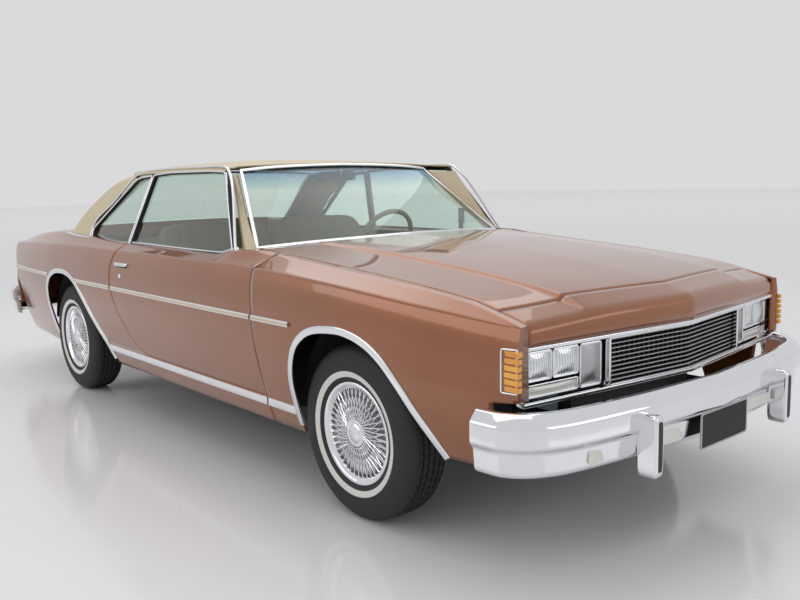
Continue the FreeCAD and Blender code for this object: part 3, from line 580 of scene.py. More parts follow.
# %% [markdown]
# The quarter panel is welded to the sill that runs under the door, so the two are one piece here: the
# sill, the patch from the door to the rear wheel, and the patch behind the wheel.

# %% Quarter panels
SILL_TOP = 385
sill = side_patch(low_rows((SILL_Z, 0), (SILL_TOP, 8)), upright(DOOR_FRONT + HALF_GAP), REAR_ARCH_FORE, 70,
                  (600, 2300))
rows = low_rows((SILL_TOP, 0), (600, 12), (730, 12), (776, 12), (HIGH, 2)) + UPPER_ROWS
ahead = side_patch(rows, QUARTER_FRONT, REAR_ARCH_FORE, 34, (2050, 2600))
behind = side_patch(low_rows((SILL_Z, 0), (SILL_TOP, 5)) + rows[1:], REAR_ARCH_AFT, upright(BODY_END), 46,
                    (3200, BODY_END))
both("quarter_skin", painted(sill, ahead, behind), wall=SKIN, facing=SIDE_FACING,
     stands_for=["quarter_panel_{}"], slot="paint")
print("quarter grids", sill.shape, ahead.shape, behind.shape)

# %% [markdown]
# A door is a box and shows its thickness when it is open. It has an outer skin cut from the body side, a
# flat inner face that is a little shorter, and four edges that join the two.

# %% Doors
DOOR_FOOT, DOOR_INNER, DOOR_INNER_TOP, DOOR_INSET = 390, 800, 962, 26
rows = low_rows((DOOR_FOOT, 0), (430, 6), (HIGH, 20)) + UPPER_ROWS
outer = side_patch(rows, upright(DOOR_FRONT + HALF_GAP), DOOR_REAR, 70, (600, 2050))
inset = np.linspace(DOOR_INSET, -DOOR_INSET, outer.shape[1])
inner = outer * [0, 1, 1] + [-DOOR_INNER, 0, 0] + np.stack([0 * inset, inset, 0 * inset], -1)
inner[..., 2] = np.minimum(inner[..., 2], DOOR_INNER_TOP)
edges = [np.stack([outer[:, 0], inner[:, 0]], 1), np.stack([outer[:, -1], inner[:, -1]], 1),
         np.stack([outer[0], inner[0]]), np.stack([outer[-1], inner[-1]])]
both("door_skin", [(outer, "paint"), (inner, "trim")] + painted(*edges), "door_{}", stands_for=["door_{}"],
     slot="paint")
print("door grids", outer.shape, inner.shape)

# %% [markdown]
# The hood has a raised middle between two ridges that run its whole length, and the panel in front of it
# carries them over the nose. Both are one formula of the distance from the centre line, so they meet.

# %% Hood and nose
HOOD_MID_Z = [(-900, 846), (-766, 893), (-486, 938), (-250, 966), (0, 989), (260, 1010), (500, 1021),
              (800, 1028)]
CROWN_LOST = [(0, 0), (250, 0.10), (470, 0.235), (500, 0.28), (511, 0.43), (522, 0.57), (545, 0.635),
              (785, 1.0)]
HOOD_REAR = [(0, 668), (450, 690), (785, 752)]
LIP_Z = [(0, 856), (400, 850), (835, 829)]
NOSE_TIP, RAKE = -884, 0.119               # the nose is a shallow arrow: it falls back by RAKE a side
HOOD_EDGE, HOOD_TIP, SEAM_TIP, HOOD_RAKE = 780, -762, -767, 0.123
NOSE_FOOT_Z = 768


def hood_z(x, st):
    """Height of the hood: the middle line, less a share of the fall to the edge that grows outwards."""
    mid, edge = smooth(HOOD_MID_Z, st), smooth(CREST_Z, st) + 2
    return mid - (mid - edge) * smooth(CROWN_LOST, np.abs(x))


def nose_y(x, tip=NOSE_TIP, rake=RAKE):
    """Station of an arrow-shaped front edge: the tip, plus rake times the distance from the middle."""
    return tip + rake * np.abs(x)


def top_patch(x, front, rear, count, height):
    """A panel seen from above: columns at x, from station front to station rear at each, with its height."""
    u = np.linspace(0, 1, count)[:, None]
    st = front + (rear - front) * u
    x = np.broadcast_to(x, st.shape)
    return np.stack([x, st, height(x, st)], -1)


x = np.concatenate([np.linspace(-HOOD_EDGE, -550, 14), np.linspace(-540, -480, 15),
                    np.linspace(-465, 465, 41),
                    np.linspace(480, 540, 15), np.linspace(550, HOOD_EDGE, 14)])
hood = top_patch(x, nose_y(x, HOOD_TIP, HOOD_RAKE), smooth(HOOD_REAR, np.abs(x)), 60, hood_z)
piece("hood_skin", painted(hood), "hood", 16, (0, 0, 1), ["hood"], "paint")

seam, front, lip = nose_y(x, SEAM_TIP, HOOD_RAKE), nose_y(x), smooth(LIP_Z, np.abs(x))
top = np.stack([x, seam, hood_z(x, seam)], -1)
brow = np.stack([x, front + 30, lip + (top[:, 2] - lip) * 0.25], -1)
corner = np.stack([x, front + 6, lip - 2], -1)
chin = np.stack([x, front + 2, lip - 24], -1)
foot = np.stack([x, front, 0 * x + NOSE_FOOT_Z], -1)
header = [top + (brow - top) * f for f in np.linspace(0, 1, 8)]
header += [bend(brow, corner, chin, f) for f in np.linspace(0.1, 1, 9)]
header += [chin + (foot - chin) * f for f in (0.5, 1)]
piece("header_skin", painted(np.array(header)), wall=10, facing=(0, -1, 1), stands_for=["header_panel"],
      slot="paint")
print("hood", hood.shape, "header", len(header), "rows")

# %% [markdown]
# The trunk lid is nearly flat, with a parabola for its crown, so it meets the quarter panels at their own
# height. Its rear edge rolls over and runs down to the tail.

# %% Trunk lid
DECK_MID_Z = [(2900, 1050), (3200, 1040), (3500, 1022), (3850, 986), (4070, 944)]
LID_HALF, LID_FRONT, LID_REAR, DECK_HALF = 674, 3160, 4048, 680
ROLL_OUT = 12                # how far the rolled edge stands behind the lid


def deck_z(x, st):
    """Height of the trunk lid: the middle line, less the fall to the edge times the square of the share."""
    edge = smooth(CREST_Z, st) + smooth(TOP_RISE, st)
    return smooth(DECK_MID_Z, st) - (smooth(DECK_MID_Z, st) - edge) * (x / DECK_HALF) ** 2


x = np.linspace(-LID_HALF, LID_HALF, 61)
lid = top_patch(x, LID_FRONT + 0 * x, LID_REAR + 0 * x, 50, deck_z)
rear_edge = lid[-1]
tail = [bend(rear_edge, rear_edge + [0, ROLL_OUT, -2], rear_edge + [0, ROLL_OUT, -16], f)
        for f in np.linspace(0.2, 1, 5)]
tail += [rear_edge * [1, 1, 0] + [0, ROLL_OUT, z] for z in (880, 840, 800)]
piece("trunk_lid_skin", painted(np.concatenate([lid, tail])), "trunk_lid", 14, (0, 0, 1), ["trunk_lid"],
      "paint")
print("trunk lid", lid.shape)

# %% [markdown]
# The vinyl is glued over a steel roof and its broad rear pillars. The roof is a patch seen from above. A
# pillar is flat beside the quarter glass and then rolls in to the rear window, so it is a fan of lines
# from one edge to the other. A narrow roll joins the roof to the tops of the side windows.

# %% Vinyl roof and pillars
ROOF_MID_Z = [(1150, 1382), (1400, 1406), (1700, 1419), (2000, 1420), (2300, 1407), (2560, 1377)]
ROOF_EDGE_Z = [(1150, 1366), (1400, 1373), (1700, 1377), (2000, 1375), (2300, 1361), (2560, 1334)]
ROOF_FRONT = [(0, 1206), (400, 1211), (604, 1230), (660, 1170), (726, 1118)]
ROOF_REAR = [(0, 2508), (474, 2488), (612, 2384), (650, 2368), (726, 2160)]
RAIL_TOP = [(1118, 1366), (1300, 1374), (1700, 1377), (2000, 1375), (2162, 1366)]
ROOF_HALF, ROOF_CROWN = 726, 2.4
BELT_OUT, BELT_Z, SIDE_LEAN = 862, 975, 0.334
PILLAR_LIFT, FLAT_SHARE = 4, 0.72


def roof_z(x, st):
    """Height of the roof: the middle line, less the fall to the edge times the share to ROOF_CROWN."""
    mid, edge = smooth(ROOF_MID_Z, st), smooth(ROOF_EDGE_Z, st)
    return mid - (mid - edge) * (np.abs(x) / ROOF_HALF) ** ROOF_CROWN


def on_glass(st, z, lift=0.0):
    """A point on the leaning side of the glass house: it comes in by SIDE_LEAN for each unit of height."""
    st, z = np.broadcast_arrays(np.asarray(st, float), np.asarray(z, float))
    return np.stack([-(BELT_OUT - SIDE_LEAN * (z - BELT_Z) + lift), st, z], -1)


steps_in = 10 * np.arange(12)
x = np.concatenate([-ROOF_HALF + steps_in, np.linspace(-600, 600, 49), ROOF_HALF - steps_in[::-1]])
roof = top_patch(x, smooth(ROOF_FRONT, np.abs(x)), smooth(ROOF_REAR, np.abs(x)), 70, roof_z)
piece("vinyl_roof", [(roof, "vinyl")], wall=7, facing=(0, 0, 1), stands_for=["roof_panel"], slot="vinyl")

v = np.linspace(0, 1, 40)    # from the pillar's top to its foot
fore = on_glass(smooth([(0, 2118), (0.85, 2574), (1, 2578)], v),
                smooth([(0, 1330), (0.85, 1047), (1, 990)], v), PILLAR_LIFT)
back = on_glass(smooth([(0, 2150), (0.25, 2430), (0.55, 2690), (0.93, 2975), (1, 2988)], v),
                smooth([(0, 1345), (0.25, 1318), (0.55, 1222), (0.93, 1036), (1, 1006)], v), PILLAR_LIFT)
glass_edge = np.stack([-smooth([(0, 724), (0.25, 655), (0.4, 622), (0.93, 738), (1, 744)], v),
                       smooth([(0, 2165), (0.25, 2362), (0.4, 2420), (0.93, 2925), (1, 2960)], v),
                       smooth([(0, 1362), (0.25, 1352), (0.4, 1341), (0.93, 1034), (1, 1020)], v)], -1)
flat_end = fore + (back - fore) * FLAT_SHARE
sail = [fore + (flat_end - fore) * f for f in np.linspace(0, 1, 9)]
sail += [bend(flat_end, back, glass_edge, f) for f in np.linspace(0.08, 1, 12)]
both("vinyl_pillar", [(np.array(sail), "vinyl")], wall=14, facing=SIDE_FACING, slot="vinyl")

run = curve(RAIL_TOP, 30)
edge = np.stack([-ROOF_HALF + 0 * run[:, 0], run[:, 0], run[:, 1] - 1], -1)
rail_line = on_glass(run[:, 0], run[:, 1] - 21, 8)
roll = np.array([bend(edge, edge + [-14, 0, 0], rail_line, f) for f in np.linspace(0, 1, 7)])
both("vinyl_rail", [(roll, "vinyl")], wall=6, facing=(-1, 0, 0.5), slot="vinyl")
print("roof", roof.shape, "pillar", len(sail), "lines")

# %% [markdown]
# Bright mouldings are rolled stainless strip or chromed steel. Each is a rounded section carried along a
# line on the body: lips round the arches, a strip along the side that stops at the shut lines, and one
# along the sill.

# %% Mouldings on the body side
OUTWARD = (-1.0, 0.0, 0.0)
STRIP_Z, SILL_STRIP_Z, LIP_CLEAR_Z = 735, 360, 340
ARCHES = (("front", FRONT_ARCH_FORE, FRONT_ARCH_AFT, FENDER_FOOT, 300),
          ("rear", REAR_ARCH_FORE, REAR_ARCH_AFT, 290, 290))
SIDE_STRIPS = (("fender", "car_body", 300, 578), ("door", "door_{}", 592, 2086),
               ("quarter", "car_body", 2106, 2660), ("tail", "car_body", 3170, 4032))
SILL_STRIPS = (("fender", 372, 579), ("quarter", 591, 2318))


def on_body(st, z, lift=0.0):
    """A point on the body side, lift outside it."""
    st, z = np.broadcast_arrays(np.asarray(st, float), np.asarray(z, float))
    return np.stack([-(side_out(st, z) + lift), st, z], -1)


for name, fore_edge, aft_edge, foot, low in ARCHES:
    up = [(st, z) for z, st in fore_edge if z > max(LIP_CLEAR_Z, foot + 20)]
    down = [(st, z) for z, st in reversed(aft_edge[:-1]) if z > LIP_CLEAR_Z]
    start, end = (smooth(fore_edge, foot), foot), (smooth(aft_edge, low), low)
    line = curve([start] + up + down + [end], 120)
    lip = sweep(on_body(line[:, 0], line[:, 1]), OUTWARD, strip(30, 7), "chrome")
    both(f"arch_lip_{name}", lip, slot="chrome")
for name, body, a, b in SIDE_STRIPS:
    line = on_body(np.linspace(a, b, 40), STRIP_Z)
    insert = sweep(line, OUTWARD, strip(10, 11), "vinyl")
    both(f"side_strip_{name}", sweep(line, OUTWARD, strip(24, 8), "chrome") + insert, body, slot="chrome")
for name, a, b in SILL_STRIPS:
    line = on_body(np.linspace(a, b, 40), SILL_STRIP_Z)
    both(f"sill_strip_{name}", sweep(line, OUTWARD, strip(36, 7), "chrome"), slot="chrome")
print("arch lips", len(ARCHES), "strips", len(SIDE_STRIPS) + len(SILL_STRIPS), "on each side")

# %% [markdown]
# Each side window sits in a black rubber channel with a thin bright trim outside it. A drip rail runs over
# both windows and down the pillar, and a strip marks where the vinyl ends at the belt.

# %% Side window frames
WINDOW_FRAME = [(848, 955), (1118, 1350), (1300, 1357), (1700, 1359), (1905, 1350), (2009, 955)]
QUARTER_FRAME = [(2022, 962), (1918, 1348), (2060, 1340), (2122, 1326), (2575, 1045), (2570, 962)]
CHANNEL_SECTION, TRIM_SECTION = bar(-20, 6, 18, 5), bar(-4, 9, 10, 3)


def frame_line(outline, shrink, radius):
    """A closed line inside an outline on the glass house's side, with rounded corners."""
    points = np.array(outline, float)
    middle = points.mean(0)
    points = middle + (points - middle) * (1 - shrink / np.abs(points - middle).max(0).clip(150))
    line = rounded(points, radius)
    return on_glass(line[:, 0], line[:, 1])


def window_frame(name, outline, channel_in, trim_in, radius, body="car_body"):
    """The channel and the trim round one window, each drawn in from the outline by its own amount."""
    channel = sweep(frame_line(outline, channel_in, radius), OUTWARD, CHANNEL_SECTION, "dark", True)
    trim = sweep(frame_line(outline, trim_in, radius), OUTWARD, TRIM_SECTION, "chrome", True)
    both(name, channel + trim, body, slot="chrome")


window_frame("door_window_frame", WINDOW_FRAME, 10, 4, 22, "door_{}")
window_frame("quarter_window_frame", QUARTER_FRAME, 8, 3, 18)
rail = curve([(842, 992), (1098, 1360), (1140, 1372), (1300, 1376), (1700, 1378), (1990, 1372), (2122, 1350),
              (2350, 1206), (2577, 1062), (2590, 1000)], 120)
both("drip_rail", sweep(on_glass(rail[:, 0], rail[:, 1], 3), OUTWARD, strip(10, 10), "chrome"), slot="chrome")
belt = curve([(2580, 995), (2800, 1001), (2985, 1012)], 20)
belt_line = on_glass(belt[:, 0], belt[:, 1] - 4, 6)
both("belt_strip", sweep(belt_line, OUTWARD, strip(14, 8), "chrome"), slot="chrome")
st = np.linspace(862, 1998, 30)
door_belt = np.stack([-smooth(TOP_OUT, st) - 12, st, smooth(CREST_Z, st) + 4], -1)
both("door_belt_strip", sweep(door_belt, (0, 0, 1), strip(22, 6), "chrome"), "door_{}", slot="chrome")
print("drip rail", len(rail), "points")

# %% [markdown]
# The windshield and the rear window have one bright moulding each, all the way round. Half of the line is
# enough: along the top, down one side and back along the foot, and the other half is its mirror.

# %% Windshield and rear window mouldings
WINDSHIELD_BASE = [(0, 700, 1016), (300, 708, 1013), (560, 745, 1006), (772, 812, 994)]
WINDSHIELD_TOP = [(0, 1196, 1372), (240, 1198, 1368), (440, 1204, 1360), (604, 1216, 1346)]
REAR_TOP = [(0, 2520, 1366), (480, 2500, 1356), (618, 2392, 1344)]
REAR_BASE = [(0, 3052, 1042), (652, 3030, 1036), (742, 2925, 1030)]


def surround(base, top, lift):
    """A closed line round a window: along its top, down one side, along its foot and up the other."""
    half_top, half_base = curve(top, 14), curve(base, 14)
    side = [half_top[-1] + (half_base[-1] - half_top[-1]) * f for f in np.linspace(0.08, 0.92, 12)]
    half = np.concatenate([half_top, side, half_base[::-1]])
    return np.concatenate([half, (half * [-1, 1, 1])[-2:0:-1]]) + lift


line = surround(WINDSHIELD_BASE, WINDSHIELD_TOP, [0, -3, 5])
piece("windshield_moulding", sweep(line, (0, -0.6, 0.8), strip(20, 7), "chrome", True), slot="chrome")
line = surround(REAR_BASE, REAR_TOP, [0, 2, 4])
piece("rear_window_moulding", sweep(line, (0, 0.6, 0.8), strip(18, 6), "chrome", True), slot="chrome")
print("window mouldings", len(line), "points each")

# %% [markdown]
# A door handle of the period is a bright pull over a recess, here a near-black block of painted shade, with
# the lock's round barrel below it.
# The marker on the fender's corner is a stack of amber bars in a thin bright ring.

# %% Handles, locks and side markers
MARKER_ST, MARKER_BARS, MARKER_PITCH, MARKER_FOOT = -775, 6, 22, 644
# The first block is the bright pull, and the second is painted shade: a near-black block for the recess
# behind it.
handle = [cushion((-973, 1836, 867), (-946, 1989, 887), "chrome", 0.4),
          cushion((-958, 1850, 858), (-944, 1976, 866), "dark", 0.5)]
both("door_handle", handle, "door_{}", slot="chrome")
barrel = spin([(-962, 0), (-962, 9), (-958, 13), (-948, 13)], (0, 1950, 811), "chrome", 24)
both("door_lock", [barrel], "door_{}", slot="chrome")
marker = []
for z in MARKER_FOOT + MARKER_PITCH * np.arange(MARKER_BARS):
    face = -side_out(MARKER_ST, z)
    marker.append(cushion((face - 7, -806, z - 9), (face + 14, -744, z + 9), "amber", 0.2, 9, 24))
edge_line = rounded([(-812, 630), (-738, 630), (-738, 768), (-812, 768)], 8)
ring = on_body(np.clip(edge_line[:, 0], -790, -738), edge_line[:, 1], 1)
both("side_marker", marker + sweep(ring, OUTWARD, strip(6, 4), "chrome", True), slot="lamp_glass")
print("side markers", len(marker), "bars each")

# %% [markdown]
# A full-size bumper of the period is a chromed pressing with a flat face, a rolled top and a step below
# it, carried round the corners, with two upright guards faced in rubber. The section is swept along the
# bumper's plan, and the rear one is mirrored in a plane across the car.

# %% Bumpers
SIDES = (("right", -1), ("left", 1))
PROFILE = rounded([(-58, 582), (-34, 584), (-10, 560), (0, 545), (0, 480), (-16, 462), (-22, 392), (-34, 378),
                   (-58, 378), (-40, 392), (-34, 462), (-18, 482), (-18, 540), (-30, 560), (-58, 566)], 9, 5)
FRONT_PLAN = [(0, -1018), (430, -985), (740, -938), (880, -868), (940, -770), (947, -692)]
REAR_PLAN = [(0, -1018), (430, -1010), (740, -990), (870, -935), (914, -850), (919, -762)]
REAR_TURN = 3312             # a rear point's station is this, less the station in its plan


def bumper(plan, profile, mirror_at=None):
    """The section carried along the bumper's plan, from one end round the nose to the other."""
    half = curve(plan, 50)
    line = np.concatenate([half[::-1], half[1:] * [-1, 1]])
    ahead = np.gradient(line, axis=0)
    out = np.stack([-ahead[:, 1], ahead[:, 0], 0 * ahead[:, 0]], 1)
    path = np.column_stack([line, 0 * line[:, 0]])
    if mirror_at is not None:
        path, out = (path * [1, -1, 1] + [0, mirror_at, 0])[::-1], (out * [1, -1, 1])[::-1]
    return sweep(path, out, profile, "chrome")


piece("bumper_front_skin", bumper(FRONT_PLAN, PROFILE), stands_for=["front_bumper"], slot="chrome")
piece("bumper_rear_skin", bumper(REAR_PLAN, PROFILE, REAR_TURN), stands_for=["rear_bumper"], slot="chrome")
print("bumpers made")

# %% [markdown]
# The guards, the parking lamps and the plate are small rounded blocks on the bumper. One helper makes a
# block from its middle, half its width, and the stations and heights it lies between.

# %% Guards, parking lamps and plate
GUARD_X, REAR_GUARD_X, PLATE_Y = 440, 390, -1014
LAMP_Z = (402, 446)


def block(x, half, y, z, finish_name, power):
    """A rounded block centred on x, from y[0] to y[1] and from z[0] to z[1]."""
    return cushion((x - half, y[0], z[0]), (x + half, y[1], z[1]), finish_name, power)


def loop_at(y, x0, x1, z0, z1, radius):
    """An upright rectangle with rounded corners, as a closed line at one station."""
    return np.insert(rounded([(x0, z0), (x1, z0), (x1, z1), (x0, z1)], radius), 1, y, axis=1)


inner_y, outer_y = nose_y(300, -1018, 0.077), nose_y(590, -1030, 0.11)
for label, side in SIDES:
    guards = [block(side * GUARD_X, 22, (-1039, -962), (323, 531), "chrome", 0.28),
              block(side * GUARD_X, 13, (-1040, -1030), (345, 512), "rubber", 0.3)]
    piece(f"bumper_guard_{label}", guards, slot="chrome")
    lamps = [block(side * 300, 95, (inner_y + 12, inner_y + 50), LAMP_Z, "lens_clear", 0.2),
             block(side * 590, 85, (outer_y + 22, outer_y + 60), LAMP_Z, "lens_clear", 0.2)]
    piece(f"park_lamps_{label}", lamps, slot="lamp_glass")
    rear_guard = block(side * REAR_GUARD_X, 22, (4270, 4336), (381, 559), "chrome", 0.28)
    piece(f"rear_guard_{label}", [rear_guard], slot="chrome")
piece("blank_plate", [cushion((-152, -1016, 352), (152, -1009, 470), "dark", 0.12)], slot="radiator_black")
border = loop_at(PLATE_Y, -154, 154, 350, 472, 10)
piece("plate_border", sweep(border, (0, -1, 0), strip(6, 4), "satin", True), slot="chrome")
print("guards and lamps on", len(SIDES), "sides")

# %% [markdown]
# The grille is a stack of thin level bars over fine upright posts, in front of a black sheet. Each part
# follows the nose's shallow arrow, so it is written as a distance behind that line.

# %% Grille
GRILLE_HALF, BARS, BAR_PITCH, TOP_BAR_Z, POSTS = 412, 10, 15.6, 745, 33


def nose_sheet(x, back, z0, z1):
    """An upright sheet that follows the nose, back behind it."""
    return np.stack([np.stack([x, nose_y(x) + back, 0 * x + z], -1) for z in (z0, z1)])


x = np.linspace(-GRILLE_HALF, GRILLE_HALF, 40)
bars = []
for i in range(BARS):
    z = TOP_BAR_Z - BAR_PITCH * i
    bars.append((top_patch(x, nose_y(x) + 18, nose_y(x) + 30, 2, lambda x, st: 0 * x + z), "satin"))
piece("grille_bars", bars, wall=3.5, facing=(0, 0, 1), slot="chrome")
posts = []
z = np.linspace(592, 748, 3)
for post in np.linspace(-400, 400, POSTS):
    near = np.stack([post + 0 * z, nose_y(post) + 26 + 0 * z, z], -1)
    far = np.stack([post + 3 + 0 * z, nose_y(post) + 40 + 0 * z, z], -1)
    posts.append((np.stack([near, far]), "rubber"))
piece("grille_posts", posts, wall=2.0, facing=(0, -1, 0), slot="chrome")
x = np.linspace(-GRILLE_HALF, GRILLE_HALF, 21)
piece("grille_back", [(nose_sheet(x, 44, 588, 750), "dark")], wall=4, facing=(0, -1, 0),
      slot="radiator_black")
print("grille", len(bars), "bars", len(posts), "posts")

# %% [markdown]
# A bright frame runs round the whole nose, and each lamp has its own thin bezel. A sealed lamp's glass is
# slightly domed: it stands out by one parabola across its width times another over its height.

# %% Lamps
FORWARD = (0, -1.0, 0)
LENS_BACK, LENS_DOME = 30, 10
LENSES = ((546, 654, 650, 742, "lamp_glass"), (664, 776, 650, 742, "lamp_glass"),
          (546, 776, 600, 636, "lens_clear"), (440, 534, 600, 742, "satin"))
TAIL_LAMPS, TAIL_PITCH, TAIL_FIRST, TAIL_HALF = 3, 168, 711, 78


def spread(values, steps=12):
    """Values spread evenly from each corner of a closed line to the next."""
    return np.concatenate([np.linspace(a, b, steps, endpoint=False)
                           for a, b in zip(values, np.roll(values, -1))])


def nose_line(x0, x1, z0, z1, radius, back):
    """A closed rectangle with rounded corners that follows the nose, back behind it."""
    corners = rounded([(x0, z0), (x1, z0), (x1, z1), (x0, z1)], radius)
    x, z = spread(corners[:, 0]), spread(corners[:, 1])
    return np.stack([x, nose_y(x) + back, z], -1)


def lens(x0, x1, z0, z1, kind):
    """A domed glass between two corners."""
    x, z = np.linspace(x0, x1, 9)[None, :], np.linspace(z0, z1, 7)[:, None]
    across = 1 - ((x - (x0 + x1) / 2) / ((x1 - x0) / 2)) ** 2
    over = 1 - ((z - (z0 + z1) / 2) / ((z1 - z0) / 2)) ** 2
    return (np.stack([x + 0 * z, nose_y(x) + LENS_BACK - LENS_DOME * across * over, z + 0 * x], -1), kind)


outer_frame = sweep(nose_line(-806, 806, 583, 760, 6, 4), FORWARD, bar(-22, 5, 14, 4), "chrome", True)
inner_frame = sweep(nose_line(-421, 421, 590, 753, 5, 6), FORWARD, bar(-22, 5, 10, 3), "chrome", True)
piece("nose_frame", outer_frame + inner_frame, stands_for=["grille"], slot="chrome")
for label, side in SIDES:
    x = np.linspace(side * 430, side * 800, 21)
    pieces = [(nose_sheet(x, 60, 588, 755), "dark")]
    for x0, x1, z0, z1, kind in LENSES:
        a, b = side * x0, side * x1
        pieces.append(lens(a, b, z0, z1, kind))
        bezel = nose_line(min(a, b), max(a, b), z0, z1, 8, LENS_BACK - 2)
        pieces += sweep(bezel, FORWARD, bar(-14, 5, 8, 3, 3), "chrome", True)
    replaced = ["headlamps"] if label == "right" else []
    piece(f"headlamps_{label}_detail", pieces, facing=FORWARD, stands_for=replaced, slot="lamp_glass")
for i in range(TAIL_LAMPS):
    for label, side in SIDES:
        middle = side * (TAIL_FIRST - TAIL_PITCH * i)
        line = loop_at(4077, middle - TAIL_HALF, middle + TAIL_HALF, 633, 757, 9)
        piece(f"tail_bezel_{i}_{label}", sweep(line, (0, 1, 0), strip(9, 4), "chrome", True), slot="chrome")
print("lamps", len(LENSES), "in front and", TAIL_LAMPS, "behind on each side")

# %% [markdown]
# A bias-belted tyre has four round grooves and blocked shoulders. The whitewall is a thin band of white
# rubber in the outer side. All of it is one profile turned about the axle, and the blocks are cut by
# letting the radius drop where the angle falls in a notch.

# %% Tyre
BEAD, BAND_IN, BAND_OUT, TREAD_R, TREAD_HALF = 198, 220, 244.5, 340, 64
GROOVE_R = TREAD_R - 7
PITCHES, STEPS_EACH = 60, 6  # tread blocks round the tyre, and grid columns in each
NOTCH_SHARE, NOTCH_DEPTH, SKEW, RIB_HALF = 0.3, 4.0, 1.5, 8
outer_wall = curve([(-82, BEAD), (-92, 214), (-100, 240), (-102, 262), (-98, 292), (-88, 318), (-76, 331),
                    (-66, 337)], 40)
inner_wall = (outer_wall * [-1, 1])[::-1]
inside = np.array([(-62, BEAD), (62, BEAD)])
tread = [(-TREAD_HALF, 338)]
for groove in (-40, -14, 14, 40):
    tread += [(groove - 4, TREAD_R), (groove - 3, GROOVE_R), (groove + 3, GROOVE_R), (groove + 4, TREAD_R)]
tread = np.array(tread + [(TREAD_HALF, 338)], float)


def tyre(centre):
    """The profile's stretches turned about the axle. In the tread, the radius drops by NOTCH_DEPTH where
    the share of a pitch is under NOTCH_SHARE, and the notch leans with the distance from the middle."""
    steps = PITCHES * STEPS_EACH
    below = outer_wall[outer_wall[:, 1] <= BAND_IN]
    band = outer_wall[(outer_wall[:, 1] >= BAND_IN - 4) & (outer_wall[:, 1] <= BAND_OUT)]
    above = outer_wall[outer_wall[:, 1] >= BAND_OUT - 4]
    ribs, *rest = spin(tread, (0, 0, 0), "tyre", steps)
    turn = np.arange(steps) / steps * PITCHES
    along = tread[:, :1]
    phase = (turn + np.abs(along) / TREAD_HALF * SKEW + 0.5 * (along > 0)) % 1
    notch = (phase < NOTCH_SHARE) * (np.abs(along) > RIB_HALF) * NOTCH_DEPTH
    ribs = ribs * np.stack([np.ones_like(notch), 1 - notch / TREAD_R, 1 - notch / TREAD_R], -1) + centre
    return [spin(np.concatenate([inside[::-1], below]), centre, "tyre", steps),
            spin(np.concatenate([below[-1:], band, above[:1]]), centre, "whitewall", steps),
            spin(above, centre, "tyre", steps),
            (ribs, *rest),
            spin(np.concatenate([above[-1:], tread[:1]]), centre, "tyre", steps),
            spin(np.concatenate([tread[-1:], inner_wall, inside[1:]]), centre, "tyre", steps)]


print("tyre profile", len(outer_wall), "points a side and", len(tread), "in the tread")

# %% [markdown]
# The wire cover is a bright ring, a dish, and three layers of crossing wires from a domed hub. A wire has
# only five sides, because there are hundreds of them, and one loop turns it about the axle.

# %% Wire wheel
SPOKES, WIRE_RADIUS, WIRE_SIDES, WIRE_STEP = 40, 2.4, 5, 1.2566
HUB_R, RIM_R = 54, 176
WIRE_LAYERS = ((0.34, -86, -72), (-0.34, -78, -76), (0.16, -66, -70))   # lean, inner and outer depth
turns = np.arange(WIRE_SIDES) * WIRE_STEP
WIRE_SECTION = WIRE_RADIUS * np.stack([np.cos(turns), np.sin(turns)], -1)


def wheel(centre):
    """The turned parts, and then each wire from the hub at angle a to the rim at angle a plus its lean."""
    ring = rounded([(-84, 202), (-90, 197), (-88, 186), (-74, 172), (-66, 170), (-66, 178), (-76, 194)], 5, 4)
    dish = curve([(-70, 174), (-50, 160), (-42, 120), (-44, 70), (-60, 56)], 24)
    hub = curve([(-60, 60), (-84, 54), (-88, 50), (-86, 40), (-91, 30), (-94, 12), (-94, 0.01)], 30)
    barrel = np.array([(-66, 190), (-20, 176), (60, 176), (84, 190), (84, 202), (-80, 202)], float)
    made = [spin(ring, centre, "chrome", 96, True), spin(dish, centre, "satin"), spin(hub, centre, "chrome"),
            spin(barrel, centre, "steel", 64, True)]
    for lean, x_in, x_out in WIRE_LAYERS:
        for a in np.arange(SPOKES) / SPOKES * 2 * math.pi:
            ends = np.array([(x_in, HUB_R * math.cos(a), HUB_R * math.sin(a)),
                             (x_out, RIM_R * math.cos(a + lean), RIM_R * math.sin(a + lean))])
            line = ends[0] + (ends[1] - ends[0]) * np.linspace(0, 1, 2)[:, None] + centre
            made += sweep(line, OUTWARD, WIRE_SECTION, "chrome")[:1]
    return made


WHEELBASE, TRACK_HALF, AXLE_Z = 2946, 781.0, 340.0
for end, station in (("front", 0), ("rear", WHEELBASE)):
    centre = np.array([-TRACK_HALF, station, AXLE_Z])
    both(f"tyre_detail_{end}", tyre(centre), f"{end}_wheel_{{}}", [f"tyre_{end}_{{}}"], slot="tyre")
    both(f"wire_wheel_{end}", wheel(centre), f"{end}_wheel_{{}}", [f"wheel_{end}_{{}}"], slot="chrome")
print("wheels made, with", SPOKES * len(WIRE_LAYERS), "wires each")

# %% [markdown]
# The bench seats are foam under woven cloth: crowned blocks whose sides pull in between rounded corners,
# with channels sewn from front to back. The channels are a row of shallow valleys in the crown.

# %% Seats
CHANNEL, VALLEY, VALLEY_WIDTH, PULL_IN, BACK_LEAN = 70.0, 7.0, 0.10, 0.07, 0.34


